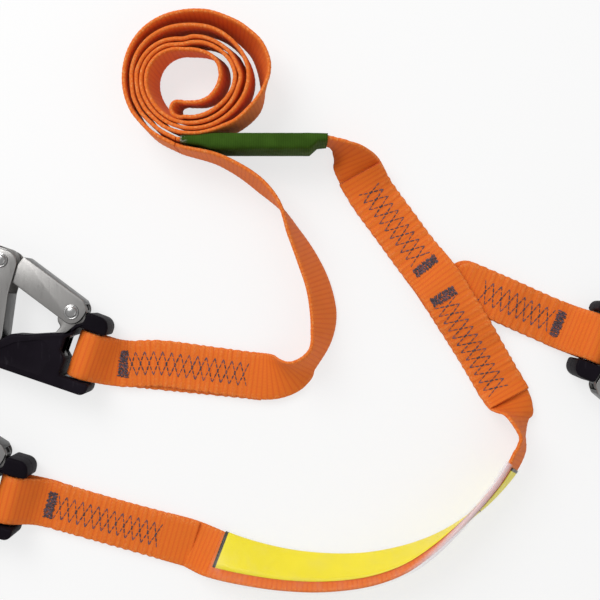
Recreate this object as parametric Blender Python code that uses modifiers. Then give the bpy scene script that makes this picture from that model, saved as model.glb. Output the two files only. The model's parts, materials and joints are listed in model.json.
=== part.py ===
"""Three-hook safety tether, laid out on a flat surface.

Two webbing legs of 25 mm strap meet at a sewn joint.  Every free end is sewn
round the eye of a double-action hook.  The long leg is doubled and wound into
a roll that stands on its edge.

Lengths in this file are millimetres, turned into metres by MM when a mesh is
made.  X runs to the right, Y away from the viewer and Z up from the surface.
"""

import math

import bmesh
import bpy
from mathutils import Matrix, Vector

MM = 0.001
COLLECTION_NAME = "three_hook_safety_tether"

# Plan position of the middle of the whole object, which becomes the origin
PLAN_CENTRE = Vector((-0.61, -1.34, 0.0))

# Webbing
WEBBING_WIDTH = 25.0
WEBBING_THICKNESS = 1.9
LAYER_GAP = 0.5
LAYER_STEP = WEBBING_THICKNESS + LAYER_GAP
LAYER_1 = WEBBING_THICKNESS / 2
LAYER_2 = LAYER_1 + LAYER_STEP
LAYER_3 = LAYER_2 + LAYER_STEP
LAYER_4 = LAYER_3 + LAYER_STEP
NODE_GAP = 0.3
ROUTE_STEP = 6.0

# Hooks: plan position of the eye bar and heading of the webbing that leaves it
HOOK_PLACES = {
    "hook_1": (-111.4, -29.0, -18.9),
    "hook_2": (-151.5, -103.6, -14.5),
    "hook_3": (155.2, -20.2, 158.0),
}
HOOK_MID_Z = 9.5
FRAME_HALF = 4.0
CHANNEL_INSIDE = 5.0
CHANNEL_OUTSIDE = 6.2
BRACKET_INSIDE = 6.5
BRACKET_OUTSIDE = 7.7
POCKET_HALF = 8.0
GRIP_HALF = 9.5
RUNNING_GAP = 0.35
SHEET = 1.2

# Rounded corners: each radius up to the first number has that many steps
FILLET_STEPS = [(1.9, 1), (10.0, 2), (100.0, 3)]

# Eye of the hook
EYE_PIN_RADIUS = 2.3
EYE_PIN_HALF = 18.0
EYE_PIN_HOLE = 2.6
EYE_BUSH_RADIUS = 5.0
EYE_BUSH_HALF = 13.0
LOOP_RADIUS = EYE_BUSH_RADIUS + NODE_GAP + WEBBING_THICKNESS / 2
# How far from the bar the webbing runs square to it, clear of the swinging ears
SQUARE_RUN = 12.5
EYE_LOOP_DEGREES = (-85, -108, -133, -158, -183, -208, -233, -258, -283, -303, -320)

# Pivots in the hook's own plan, measured from the eye bar
LEVER_PIVOT = Vector((-13.9, 19.3, 0.0))
GATE_PIVOT = Vector((-57.0, 33.0, 0.0))
BRACKET_PIN = Vector((-52.0, -13.4, 0.0))
RIVET_RADIUS = 2.0
RIVET_HOLE = 2.35
RIVET_HEAD_RADIUS = 3.9
RIVET_HEAD_HEIGHT = 1.2
RIVET_SIDES = 12

# Outlines in the hook's own plan: x, y and the corner's radius
FRAME_OUTLINE = [
    (4.8, -18.2, 2.2), (4.8, -13.4, 1.5), (-9.9, -13.4, 1.2), (-9.9, -4.0, 1.0),
    (-12.2, -1.0, 1.2), (-12.2, 5.0, 1.2), (-9.9, 7.5, 1.0), (-9.9, 13.4, 1.2),
    (4.8, 13.4, 1.5), (4.8, 18.2, 2.2), (-6.0, 18.4, 1.2), (-7.3, 26.0, 6.0),
    (-20.6, 26.0, 6.2), (-20.6, 12.4, 5.0), (-17.4, 10.2, 1.5), (-20.5, 2.5, 5.0),
    (-38.0, -9.0, 12.0), (-128.5, -9.0, 19.0), (-128.5, 30.2, 16.0),
    (-104.8, 30.2, 3.0), (-104.8, 38.2, 4.0), (-138.0, 38.2, 23.0),
    (-138.0, -18.3, 25.0),
]
GRIP_OUTLINE = [
    (7.2, -19.8, 3.9), (7.2, -13.3, 1.6), (-8.8, -13.3, 1.2), (-8.8, -4.5, 1.9),
    (-12.4, -1.0, 1.2), (-12.4, 6.0, 1.2), (-8.8, 8.6, 1.9), (-8.8, 13.3, 2.4),
    (7.2, 13.3, 1.6), (7.2, 21.9, 5.5), (-5.0, 22.3, 1.8), (-6.2, 16.3, 2.0), (-9.6, 13.7, 2.0),
    (-12.8, 8.6, 3.0), (-19.5, 6.0, 5.0), (-31.7, 1.0, 12.0), (-39.0, -1.0, 4.0), (-44.5, -6.8, 4.0),
    (-76.0, -7.6, 3.0), (-80.0, -19.8, 5.0),
]
BRACKET_OUTLINE = [
    (-65.5, 38.5, 8.0), (-48.6, 39.2, 6.5), (-47.6, 18.0, 10.0), (-42.9, -6.0, 3.0),
    (-45.0, -16.6, 4.0), (-59.5, -16.6, 4.0), (-62.0, 8.0, 10.0), (-65.5, 24.0, 10.0),
]
BRACKET_HOLLOW = [
    (-90.0, 60.0, 0.0), (-25.0, 60.0, 0.0), (-25.0, 18.0, 0.0), (-48.8, 18.0, 0.0),
    (-44.1, -6.0, 0.0), (-25.0, -6.0, 0.0), (-25.0, -40.0, 0.0), (-90.0, -40.0, 0.0),
]
GATE_OUTLINE = [
    (-50.5, 26.6, 6.0), (-50.5, 39.4, 6.0), (-64.0, 39.4, 6.0), (-72.0, 37.6, 8.0),
    (-112.0, 37.6, 5.0), (-114.5, 24.0, 4.0), (-72.0, 25.0, 8.0), (-60.0, 26.6, 4.0),
]
GATE_HOLLOW = [
    (-130.0, 60.0, 0.0), (-103.4, 60.0, 0.0), (-103.4, 36.4, 0.0), (-70.0, 36.4, 0.0),
    (-63.0, 38.2, 0.0), (-61.0, 60.0, 0.0), (-30.0, 60.0, 0.0), (-30.0, 5.0, 0.0),
    (-130.0, 5.0, 0.0),
]
LATCH_BAR = Vector((-110.0, 26.6, 0.0))
LATCH_BAR_RADIUS = 2.0

# Lock lever, along (from its rivet towards the gate's) and outwards
LEVER_OUTLINE = [
    (-6.3, -6.2, 6.0), (-6.3, 5.5, 5.0), (-1.5, 8.4, 1.6), (37.0, 8.6, 1.6), (37.6, -6.0, 2.0),
]
LEVER_HOLLOW = [(-20.0, -20.0, 0.0), (60.0, -20.0, 0.0), (60.0, 7.4, 0.0), (-20.0, 7.3, 0.0)]

# Torsion springs round the two rivets
SPRING_WIRE_RADIUS = 0.4
SPRING_COIL_RADIUS = 3.1
SPRING_POINTS = 8
# Start and end of each coil in degrees; the legs leave it straight on
LEVER_COIL = (-10.0, 792.0)
GATE_COIL = (-5.0, 1170.0)

# Route of the long leg from its sewn end at hook 1 up to the roll:
# x, y, z and lean of the width, 0 flat and 90 standing with its left edge up
LEAD_TAIL_END = (-19.5, -41.2)
LEAD_SKEW = 0.21
LEAD_START_LEAN = 0.0
LEAD_UPPER_FROM = 24
LEAD_ROUTE = [
    (-74.3, -33.6, LAYER_2, 0.0), (-50.4, -36.6, LAYER_2, 0.0), (-27.1, -39.7, LAYER_2, 0.0),
    (-17.0, -40.6, 4.4, 6.0), (-7.5, -39.4, 7.7, 30.0), (1.6, -35.0, 12.0, 62.0),
    (8.4, -27.6, 12.6, 70.0), (11.4, -18.3, 11.9, 62.0), (12.3, -7.3, 11.6, 57.0),
    (9.4, 7.8, 11.8, 60.0), (3.1, 23.0, 12.2, 66.0), (-3.6, 36.0, 12.6, 76.0),
    (-10.4, 49.0, 12.7, 90.0), (-20.4, 59.4, 12.8, 99.0), (-31.7, 67.6, 12.8, 97.0),
    (-43.8, 73.7, 12.8, 94.0), (-55.4, 76.7, 12.8, 91.0), (-60.6, 78.0, 12.8, 90.0),
    (-63.1, 78.9, 12.8, 90.0),
]

# Roll: strand turns about its middle, first from the bight outwards.
# Each row is the angle in degrees, the radius of the upper edge, and how far
# the lower edge stands from it in x and y
ROLL_CENTRE = (-59.8, 114.5)
ROLL_STEP_DEGREES = 15
INNER_STRAND = [
    (262, 14.1, 3.0, 3.0), (273, 14.1, 3.0, 3.0), (295, 15.4, 3.0, 3.0), (318, 17.4, 3.0, 3.0),
    (360, 19.1, 3.0, 3.0), (378, 18.9, 3.0, 3.0), (395, 17.3, 3.0, 3.0), (413, 15.0, 3.0, 3.0),
    (450, 12.9, 3.0, 3.0), (540, 18.3, 3.0, 3.0), (585, 20.8, 3.0, 3.0), (630, 24.2, 3.0, 3.0), (720, 29.2, 3.0, 3.0),
    (742, 26.8, 3.0, 3.0),
    (765, 23.7, 3.0, 3.0), (795, 20.0, 3.0, 3.0), (810, 18.3, 3.0, 3.0), (840, 19.6, 3.0, 3.0),
    (870, 21.5, 2.8, 2.8), (900, 23.5, 2.6, 2.6), (922, 24.5, 2.4, 2.4),
    (945, 25.9, 2.0, 2.0), (967, 27.6, 1.8, 1.8), (990, 29.4, 1.5, 1.5), (1017, 31.6, 0.8, 0.5), (1027, 32.8, 0.8, 0.0), (1040, 35.4, 1.0, -0.6), (1058, 38.7, 1.2, -0.8),
    (1070, 41.6, -1.0, 0.0), (1080, 43.9, -4.6, 0.0), (1090, 44.8, -6.4, -0.6), (1103, 43.6, -5.6, -2.2),
    (1116, 40.6, -3.6, -3.0), (1126, 38.4, -2.4, -2.8), (1145, 35.2, -1.4, -2.0), (1170, 32.2, -0.4, -1.0),
    (1215, 30.2, 0.8, 0.4), (1260, 29.8, 1.0, 1.0), (1300, 31.6, 0.4, 0.4), (1322, 33.0, 0.0, 0.0),
    (1344, 35.7, 0.0, 0.0),
]
OUTER_STRAND = [
    (264, 21.5, 3.0, 3.0), (270, 21.4, 3.0, 3.0), (315, 23.8, 3.0, 3.0), (360, 26.5, 3.0, 3.0),
    (405, 21.0, 3.0, 3.0), (450, 15.6, 3.0, 3.0), (480, 16.9, 3.0, 3.0), (540, 20.9, 3.0, 3.0),
    (585, 23.3, 2.8, 2.8), (630, 26.8, 2.6, 2.6),
    (675, 30.4, 2.0, 2.0), (720, 33.5, 1.6, 1.6), (765, 29.4, 1.6, 1.6), (810, 25.1, 1.4, 1.6),
    (900, 26.0, 1.6, 1.6), (922, 27.2, 1.3, 1.3),
    (945, 28.6, 1.0, 1.0), (967, 30.3, 0.2, 0.2), (984, 32.6, 0.0, 0.0),
]
BIGHT_STATIONS = (45, 90, 135)
ROLL_LIFT = 0.3

# The folded stretch of the long leg inside the overload cover
COVER_SECTIONS = [
    (-60.5, 81.6, 1.5), (-52.0, 81.3, 2.0), (-46.0, 80.8, 3.4), (-42.0, 80.7, 3.7),
    (5.0, 80.7, 3.7), (9.0, 82.5, 1.85), (14.0, 82.7, 1.6),
]
COVER_HEIGHT = 26.6
COVER_WALL = 0.4
COVER_CORNER = 0.6
FOLD_ROUTE_IN = [
    (-62.8, 81.9), (-60.0, 81.6), (-52.0, 81.2), (-46.5, 80.0), (-41.5, 78.5),
]
FOLD_LEFT = -37.0
FOLD_RIGHT = 1.0
FOLD_FRONT_Y = 78.35
FOLD_MIDDLE_Y = 80.7
FOLD_BACK_Y = 83.05
FOLD_Z = 13.25
FOLD_ROUTE_OUT = [(4.0, 83.05), (9.0, 82.75)]

# Route of the long leg from the cover over the joint to hook 2
TAIL_ROUTE = [
    (14.0, 82.6, 13.2, 90.0), (17.4, 81.7, 13.0, 88.0), (21.4, 79.3, 12.4, 76.0),
    (26.3, 74.8, 10.6, 52.0), (30.9, 68.9, 6.2, 24.0), (38.0, 56.5, 1.5, 2.0), (44.6, 47.4, LAYER_1, 0.0),
    (51.2, 38.4, LAYER_1, 0.0), (62.9, 22.4, LAYER_1, 0.0), (71.5, 11.2, LAYER_1, 0.0),
    (82.4, -5.9, LAYER_1, 0.0), (94.6, -25.1, LAYER_1, 0.0), (105.4, -43.6, LAYER_1, 0.0),
    (110.6, -53.4, 5.5, -20.0), (114.0, -61.5, 11.4, -56.0), (115.6, -70.0, 13.2, -72.0),
    (114.3, -79.0, 13.4, -64.0), (110.9, -86.0, 13.8, -63.0), (104.2, -95.6, 14.0, -66.0),
    (94.0, -106.9, 14.2, -70.0), (80.8, -118.4, 14.6, -78.0), (67.7, -127.4, 14.8, -89.0),
    (52.1, -135.2, 14.8, -103.0), (33.9, -140.2, 14.0, -113.0), (13.0, -141.8, 13.3, -121.0),
    (-7.8, -140.6, 12.7, -128.0), (-28.8, -137.0, 11.6, -138.0), (-44.4, -133.2, 9.3, -152.0),
    (-53.6, -130.8, 4.4, -168.0), (-62.0, -128.4, 1.2, -179.0), (-74.7, -125.0, LAYER_1, -180.0),
    (-96.0, -119.3, LAYER_1, -180.0), (-117.4, -113.2, LAYER_1, -180.0),
]
TAIL_END = (-56.4, -129.9)

# Short leg, with the heights of its lower layer by distance from its inner end
BRANCH_INNER_END = (77.0, 13.0)
BRANCH_HEIGHTS = [(0.0, LAYER_2), (34.0, LAYER_2), (40.0, LAYER_2 - 0.7), (46.0, LAYER_1 + 0.5), (52.0, LAYER_1)]
BRANCH_UPPER_START = 3.0

# Strap sewn over the joint: distance along the long leg from the joint, how far
# it stands off the leg below and how much more it leans over the short leg
OVERLAY_RISE = [
    (-70.0, 3.0, 0.0), (-56.0, 2.7, 0.0), (-44.0, LAYER_STEP, 0.0), (-22.0, LAYER_STEP, 0.0), (-14.0, 3.2, 4.0), (-6.0, 4.75, 8.0),
    (-2.5, 5.85, 8.0), (2.0, 7.05, 5.0), (8.4, 7.7, 2.0), (15.0, 7.6, 3.0), (22.5, 7.1, 7.0),
    (30.0, 5.9, 10.0), (36.0, 5.1, 11.0), (41.0, 4.0, 8.0), (47.0, 2.9, 3.0), (55.0, LAYER_STEP, 0.0),
    (62.0, 2.7, 0.0), (76.0, 2.8, 0.0),
]
JOINT_PLACE = (71.5, 11.2)

# Label and clear sleeve on the long leg, between two places on its route
LABEL_FIRST = (110.9, -86.0)
LABEL_LAST = (-44.4, -133.2)
LABEL_WIDTH = 22.0
LABEL_THICKNESS = 0.35
SLEEVE_WIDTH = 27.5
SLEEVE_HALF_DEPTH = 3.0
SLEEVE_WALL = 0.3

# Thread
THREAD_RADIUS = 0.24
THREAD_LIFT = 0.7
THREAD_CROSS = 0.75
SEAM_HALF_WIDTH = 6.4
TACK_LENGTH = 14.0
TACK_WIDTH = 2.4
TACK_HEIGHT = 0.9
TACK_LIFT = 0.35

# Seams: strap, the span along it from a place, sideways offset and zigzag legs.
# Bar tacks: strap, distance along it from the same place and sideways offset
SEAMS = {
    "seam_hook_1": ("lead", (-91.4, -32.5), (0.0, 64.0), 0.0, 14),
    "seam_hook_2": ("tail_upper", (-132.1, -108.6), (3.0, 60.0), 0.0, 13),
    "seam_hook_3": ("branch_upper", (136.7, -12.7), (-45.0, -4.0), 0.0, 9),
    "seam_joint_upper": ("overlay", JOINT_PLACE, (-60.0, -13.0), 0.0, 10),
    "seam_joint_lower": ("overlay", JOINT_PLACE, (13.0, 69.0), -3.0, 12),
}
TACKS = {
    "tack_hook_1": ("lead", (-91.4, -32.5), -2.4, 0.0),
    "tack_hook_2": ("tail_upper", (-132.1, -108.6), 0.0, 0.0),
    "tack_hook_3": ("branch_upper", (136.7, -12.7), 0.0, 0.0),
    "tack_joint_upper": ("overlay", JOINT_PLACE, -8.6, 0.0),
    "tack_joint_lower": ("overlay", JOINT_PLACE, 10.0, -2.0),
}

# Colours as red, green, blue, with roughness and metallic
FINISHES = {
    "orange_webbing": ((0.75, 0.19, 0.012), 0.85, 0.0),
    "steel": ((0.42, 0.41, 0.40), 0.32, 1.0),
    "spring_steel": ((0.30, 0.30, 0.30), 0.35, 1.0),
    "black_nylon": ((0.012, 0.010, 0.014), 0.38, 0.0),
    "green_cover": ((0.045, 0.105, 0.020), 0.55, 0.0),
    "yellow_label": ((0.90, 0.76, 0.02), 0.5, 0.0),
    "clear_film": ((0.80, 0.78, 0.80), 0.2, 0.0),
    "dark_thread": ((0.045, 0.045, 0.085), 0.7, 0.0),
}


def clear_scene():
    """Remove every object that the scene starts with."""
    for old in list(bpy.data.objects):
        bpy.data.objects.remove(old, do_unlink=True)


def new_collection(name):
    collection = bpy.data.collections.new(name)
    bpy.context.scene.collection.children.link(collection)
    return collection


def make_finish(name):
    """Return the Principled material with this name."""
    colour, roughness, metallic = FINISHES[name]
    material = bpy.data.materials.new(name)
    material.use_nodes = True
    shader = material.node_tree.nodes["Principled BSDF"]
    shader.inputs["Base Color"].default_value = (*colour, 1.0)
    shader.inputs["Roughness"].default_value = roughness
    shader.inputs["Metallic"].default_value = metallic
    material.diffuse_color = (*colour, 1.0)
    return material


def evaluated_mesh(source):
    """Return a welded mesh of an object with its modifiers, in its own axes."""
    graph = bpy.context.evaluated_depsgraph_get()
    mesh = bpy.data.meshes.new_from_object(source.evaluated_get(graph))
    bm = bmesh.new()
    bm.from_mesh(mesh)
    bmesh.ops.remove_doubles(bm, verts=bm.verts, dist=0.002 * MM)
    bm.to_mesh(mesh)
    bm.free()
    return mesh


def settle(source):
    """Replace a helper by its evaluated mesh and remove the helper."""
    mesh = evaluated_mesh(source)
    bpy.data.objects.remove(source, do_unlink=True)
    return mesh


def helper_object(name, data):
    """Link a short-lived object for building, hidden from render."""
    helper = bpy.data.objects.new(name, data)
    helper.hide_render = True
    helper.display_type = "WIRE"
    bpy.context.scene.collection.objects.link(helper)
    return helper


def fillet_outline(corners):
    """Round each corner (x, y, radius) of a closed outline with an arc."""
    points = []
    count = len(corners)
    for index, (x, y, radius) in enumerate(corners):
        steps = next(number for limit, number in FILLET_STEPS if radius <= limit)
        here = Vector((x, y))
        before = (Vector(corners[index - 1][:2]) - here).normalized()
        after = (Vector(corners[(index + 1) % count][:2]) - here).normalized()
        if radius <= 0.0:
            points.append(here)
            continue
        half = math.acos(max(-1.0, min(1.0, before.dot(after)))) / 2
        reach = radius / math.tan(half)
        centre = here + (before + after).normalized() * (radius / math.sin(half))
        start = here + before * reach - centre
        end = here + after * reach - centre
        sweep = start.angle_signed(end)
        for step in range(steps + 1):
            turn = Matrix.Rotation(-sweep * step / steps, 2)
            points.append(centre + turn @ start)
    return points


def circle_points(centre, radius, count=12):
    """Return points round a circle in plan."""
    angles = [2 * math.pi * index / count for index in range(count)]
    return [Vector((centre.x + radius * math.cos(a), centre.y + radius * math.sin(a))) for a in angles]


def plate_mesh(name, outline, half, holes=(), edge=0.0, grow=0.0):
    """Fill a flat outline with holes and give it thickness about z = 0."""
    curve = bpy.data.curves.new(name, "CURVE")
    curve.dimensions = "2D"
    curve.fill_mode = "BOTH"
    curve.extrude = (half - edge) * MM
    curve.bevel_depth = edge * MM
    curve.bevel_resolution = 0
    curve.offset = (grow - edge) * MM
    for loop in (outline, *holes):
        spline = curve.splines.new("POLY")
        spline.points.add(len(loop) - 1)
        for point, place in zip(spline.points, loop):
            point.co = (place.x * MM, place.y * MM, 0.0, 1.0)
        spline.use_cyclic_u = True
    return settle(helper_object(name, curve))


def cylinder_mesh(name, radius, low, high, centre=Vector((0.0, 0.0, 0.0)), axis="Z", sides=16, bore=0.0):
    """Make a cylinder from low to high along an axis, with a bore if asked."""
    bm = bmesh.new()
    bmesh.ops.create_cone(bm, cap_ends=True, segments=sides, radius1=radius * MM, radius2=radius * MM,
                          depth=(high - low) * MM)
    bmesh.ops.translate(bm, verts=bm.verts, vec=(0.0, 0.0, (high + low) / 2 * MM))
    if axis == "Y":
        bmesh.ops.rotate(bm, verts=bm.verts, matrix=Matrix.Rotation(-math.pi / 2, 3, "X"))
    bmesh.ops.translate(bm, verts=bm.verts, vec=centre * MM)
    mesh = bpy.data.meshes.new(name)
    bm.to_mesh(mesh)
    bm.free()
    if bore > 0.0:
        mesh = combine(mesh, cylinder_mesh(name + "_bore", bore, low - 1.0, high + 1.0, centre, axis, sides))
    return mesh


def box_mesh(name, low, high):
    """Make a box between two corners."""
    low = Vector(low)
    high = Vector(high)
    bm = bmesh.new()
    bmesh.ops.create_cube(bm, size=1.0)
    bmesh.ops.scale(bm, verts=bm.verts, vec=(high - low) * MM)
    bmesh.ops.translate(bm, verts=bm.verts, vec=(high + low) / 2 * MM)
    mesh = bpy.data.meshes.new(name)
    bm.to_mesh(mesh)
    bm.free()
    return mesh


def combine(first, second, operation="DIFFERENCE"):
    """Cut one mesh by another, or join them, with an exact Boolean."""
    body = helper_object("body", first)
    tool = helper_object("tool", second)
    boolean = body.modifiers.new("boolean", "BOOLEAN")
    boolean.object = tool
    boolean.operation = operation
    boolean.solver = "EXACT"
    result = settle(body)
    bpy.data.objects.remove(tool, do_unlink=True)
    return result


def moved(mesh, offset):
    """Shift a mesh in place and return it."""
    mesh.transform(Matrix.Translation(offset * MM))
    return mesh


def place_piece(name, mesh, finish, parent=None, location=Vector((0.0, 0.0, 0.0))):
    """Make the named piece from its mesh, on its parent empty."""
    piece = bpy.data.objects.new(name, mesh)
    mesh.materials.clear()
    mesh.materials.append(finishes[finish])
    piece.parent = parent
    piece.location = location * MM
    mesh.shade_smooth()
    mesh.set_sharp_from_angle(angle=math.radians(35))
    collection.objects.link(piece)
    return piece


def place_empty(name, location, parent=None, heading=0.0):
    """Make an empty that carries pieces, such as a pivot."""
    empty = bpy.data.objects.new(name, None)
    empty.empty_display_size = 0.01
    empty.location = location * MM
    empty.rotation_euler = (0.0, 0.0, math.radians(heading))
    empty.parent = parent
    collection.objects.link(empty)
    return empty


def frame_mesh():
    """Hook frame: eye fork, spine, bow and nose in one plate, with a forked ear."""
    ear_hole = circle_points(LEVER_PIVOT, RIVET_HOLE)
    pin_hole = circle_points(BRACKET_PIN, RIVET_HOLE)
    mesh = plate_mesh("frame", fillet_outline(FRAME_OUTLINE), FRAME_HALF, (ear_hole, pin_hole), edge=0.9)
    eye_hole = cylinder_mesh("eye_hole", EYE_PIN_HOLE, -30.0, 30.0, axis="Y")
    mesh = combine(mesh, eye_hole)
    return combine(mesh, box_mesh("ear_slot", (-24.0, 12.2, -1.9), (-7.0, 29.0, 1.9)))


def grip_mesh(sign):
    """One moulded half of the grip, hollowed for the frame and the bracket."""
    shell = plate_mesh("grip", fillet_outline(GRIP_OUTLINE), GRIP_HALF, edge=0.8)
    far = 100.0
    shell = combine(shell, box_mesh("other_half", (-200.0, -far, -20.0), (far, far, 0.15)))
    room = plate_mesh("frame_room", fillet_outline(FRAME_OUTLINE), FRAME_HALF + RUNNING_GAP, grow=RUNNING_GAP)
    shell = combine(shell, room)
    pocket = plate_mesh("bracket_room", fillet_outline(BRACKET_OUTLINE), POCKET_HALF, grow=0.4)
    shell = combine(shell, pocket)
    pin_room = cylinder_mesh("pin_room", EYE_PIN_HOLE + 0.1, -EYE_PIN_HALF - 0.4, EYE_PIN_HALF + 0.4, axis="Y")
    shell = combine(shell, pin_room)
    if sign < 0:
        shell.transform(Matrix.Diagonal((1.0, 1.0, -1.0, 1.0)))
        shell.flip_normals()
    return shell


def channel_mesh(name, outline, hollow, inside, outside, holes):
    """Folded sheet channel: a thick plate with its middle taken out."""
    solid = plate_mesh(name, outline, outside, holes)
    return combine(solid, plate_mesh(name + "_hollow", hollow, inside))


def bracket_mesh():
    """Gate bracket that straddles the spine and carries the gate's rivet."""
    holes = (circle_points(GATE_PIVOT, RIVET_HOLE), circle_points(BRACKET_PIN, RIVET_HOLE))
    return channel_mesh("bracket", fillet_outline(BRACKET_OUTLINE), fillet_outline(BRACKET_HOLLOW),
                        BRACKET_INSIDE, BRACKET_OUTSIDE, holes)


def gate_mesh():
    """Gate: a folded channel with a latch bar that bears inside the nose."""
    mesh = channel_mesh("gate", fillet_outline(GATE_OUTLINE), fillet_outline(GATE_HOLLOW),
                        CHANNEL_INSIDE, CHANNEL_OUTSIDE, (circle_points(GATE_PIVOT, RIVET_HOLE),))
    half_bar = CHANNEL_OUTSIDE - SHEET / 2
    bar = cylinder_mesh("latch_bar", LATCH_BAR_RADIUS, -half_bar, half_bar, LATCH_BAR, sides=12)
    return moved(combine(mesh, bar, "UNION"), -GATE_PIVOT)


def lever_point(along, outwards):
    """Turn a place on the lock lever into the hook's plan."""
    direction = (GATE_PIVOT - LEVER_PIVOT).normalized()
    normal = Vector((direction.y, -direction.x, 0.0))
    return LEVER_PIVOT + direction * along + normal * outwards


def lever_mesh():
    """Lock lever: a folded channel from its rivet to the bracket."""
    outline = [(*lever_point(u, v).xy, r) for u, v, r in LEVER_OUTLINE]
    hollow = [(*lever_point(u, v).xy, r) for u, v, r in LEVER_HOLLOW]
    mesh = channel_mesh("lever", fillet_outline(outline), fillet_outline(hollow),
                        CHANNEL_INSIDE, CHANNEL_OUTSIDE, (circle_points(LEVER_PIVOT, RIVET_HOLE),))
    return moved(mesh, -LEVER_PIVOT)


def rivet_mesh(half_grip):
    """Rivet with two domed heads, as a turned profile."""
    top = half_grip + NODE_GAP
    profile = [
        (0.0, top + RIVET_HEAD_HEIGHT), (RIVET_HEAD_RADIUS * 0.55, top + RIVET_HEAD_HEIGHT),
        (RIVET_HEAD_RADIUS * 0.92, top + RIVET_HEAD_HEIGHT * 0.6), (RIVET_HEAD_RADIUS, top),
        (RIVET_RADIUS, top), (RIVET_RADIUS, -top), (RIVET_HEAD_RADIUS, -top),
        (RIVET_HEAD_RADIUS * 0.92, -top - RIVET_HEAD_HEIGHT * 0.6),
        (RIVET_HEAD_RADIUS * 0.55, -top - RIVET_HEAD_HEIGHT), (0.0, -top - RIVET_HEAD_HEIGHT),
    ]
    bm = bmesh.new()
    verts = [bm.verts.new((x * MM, 0.0, z * MM)) for x, z in profile]
    for first, second in zip(verts, verts[1:]):
        bm.edges.new((first, second))
    mesh = bpy.data.meshes.new("rivet")
    bm.to_mesh(mesh)
    bm.free()
    turned = helper_object("rivet", mesh)
    screw = turned.modifiers.new("turn", "SCREW")
    screw.steps = RIVET_SIDES
    screw.render_steps = RIVET_SIDES
    screw.use_merge_vertices = True
    screw.merge_threshold = 0.00001
    return settle(turned)


def tube_mesh(name, points, radius, resolution):
    """Sweep a round wire or thread through points."""
    curve = bpy.data.curves.new(name, "CURVE")
    curve.dimensions = "3D"
    curve.bevel_depth = radius * MM
    curve.bevel_resolution = resolution
    curve.use_fill_caps = True
    spline = curve.splines.new("POLY")
    spline.points.add(len(points) - 1)
    for point, place in zip(spline.points, points):
        point.co = (*(place * MM), 1.0)
    return settle(helper_object(name, curve))


def spring_mesh(half_width, coil, first_leg, second_leg):
    """Torsion spring: coils about z with a straight leg at each end."""
    start, end = (math.radians(value) for value in coil)
    steps = round((coil[1] - coil[0]) / 360.0 * SPRING_POINTS)
    ring = []
    for step in range(steps + 1):
        angle = start + (end - start) * step / steps
        height = half_width * (2 * step / steps - 1)
        ring.append(Vector((SPRING_COIL_RADIUS * math.cos(angle), SPRING_COIL_RADIUS * math.sin(angle), height)))
    tail = ring[0] - Vector((-math.sin(start), math.cos(start), 0.0)) * first_leg
    tip = ring[-1] + Vector((-math.sin(end), math.cos(end), 0.0)) * second_leg
    return tube_mesh("spring", [tail, *ring, tip], SPRING_WIRE_RADIUS, 1)


def hook_matrix(hook):
    """Return the matrix from a hook's own plan to the world, in millimetres."""
    x, y, heading = HOOK_PLACES[hook]
    place = Vector((x, y, HOOK_MID_Z)) - PLAN_CENTRE
    return Matrix.Translation(place) @ Matrix.Rotation(math.radians(heading), 4, "Z")


def make_hooks():
    """Build each piece of a hook once and place it on all three hooks."""
    meshes = {
        "frame": (frame_mesh(), "steel"),
        "grip_upper": (grip_mesh(1), "black_nylon"),
        "grip_lower": (grip_mesh(-1), "black_nylon"),
        "eye_pin": (cylinder_mesh("eye_pin", EYE_PIN_RADIUS, -EYE_PIN_HALF, EYE_PIN_HALF, axis="Y"), "steel"),
        "eye_bush": (cylinder_mesh("eye_bush", EYE_BUSH_RADIUS, -EYE_BUSH_HALF, EYE_BUSH_HALF, axis="Y",
                                   bore=EYE_PIN_HOLE), "steel"),
        "gate_bracket": (bracket_mesh(), "steel"),
    }
    bracket_pin = cylinder_mesh("bracket_pin", RIVET_RADIUS, -BRACKET_OUTSIDE, BRACKET_OUTSIDE, sides=12)
    lever_rivet = rivet_mesh(CHANNEL_OUTSIDE)
    gate_rivet = rivet_mesh(BRACKET_OUTSIDE)
    lever_spring = spring_mesh(1.4, LEVER_COIL, 5.4, 7.0)
    gate_spring = spring_mesh(3.4, GATE_COIL, 8.0, 9.0)
    lever = lever_mesh()
    gate = gate_mesh()
    for hook in HOOK_PLACES:
        x, y, heading = HOOK_PLACES[hook]
        pivot = place_empty(hook + "_pivot", Vector((x, y, HOOK_MID_Z)) - PLAN_CENTRE, heading=heading)
        for name, (mesh, finish) in meshes.items():
            place_piece(f"{hook}_{name}", mesh, finish, pivot)
        place_piece(hook + "_bracket_pin", bracket_pin, "steel", pivot, BRACKET_PIN)
        place_piece(hook + "_lever_rivet", lever_rivet, "steel", pivot, LEVER_PIVOT)
        place_piece(hook + "_gate_rivet", gate_rivet, "steel", pivot, GATE_PIVOT)
        place_piece(hook + "_lever_spring", lever_spring, "spring_steel", pivot, LEVER_PIVOT)
        place_piece(hook + "_gate_spring", gate_spring, "spring_steel", pivot, GATE_PIVOT)
        lever_pivot = place_empty(hook + "_lever_pivot", LEVER_PIVOT, pivot)
        place_piece(hook + "_lock_lever", lever, "steel", lever_pivot)
        gate_pivot = place_empty(hook + "_gate_pivot", GATE_PIVOT, pivot)
        place_piece(hook + "_gate", gate, "steel", gate_pivot)


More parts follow.
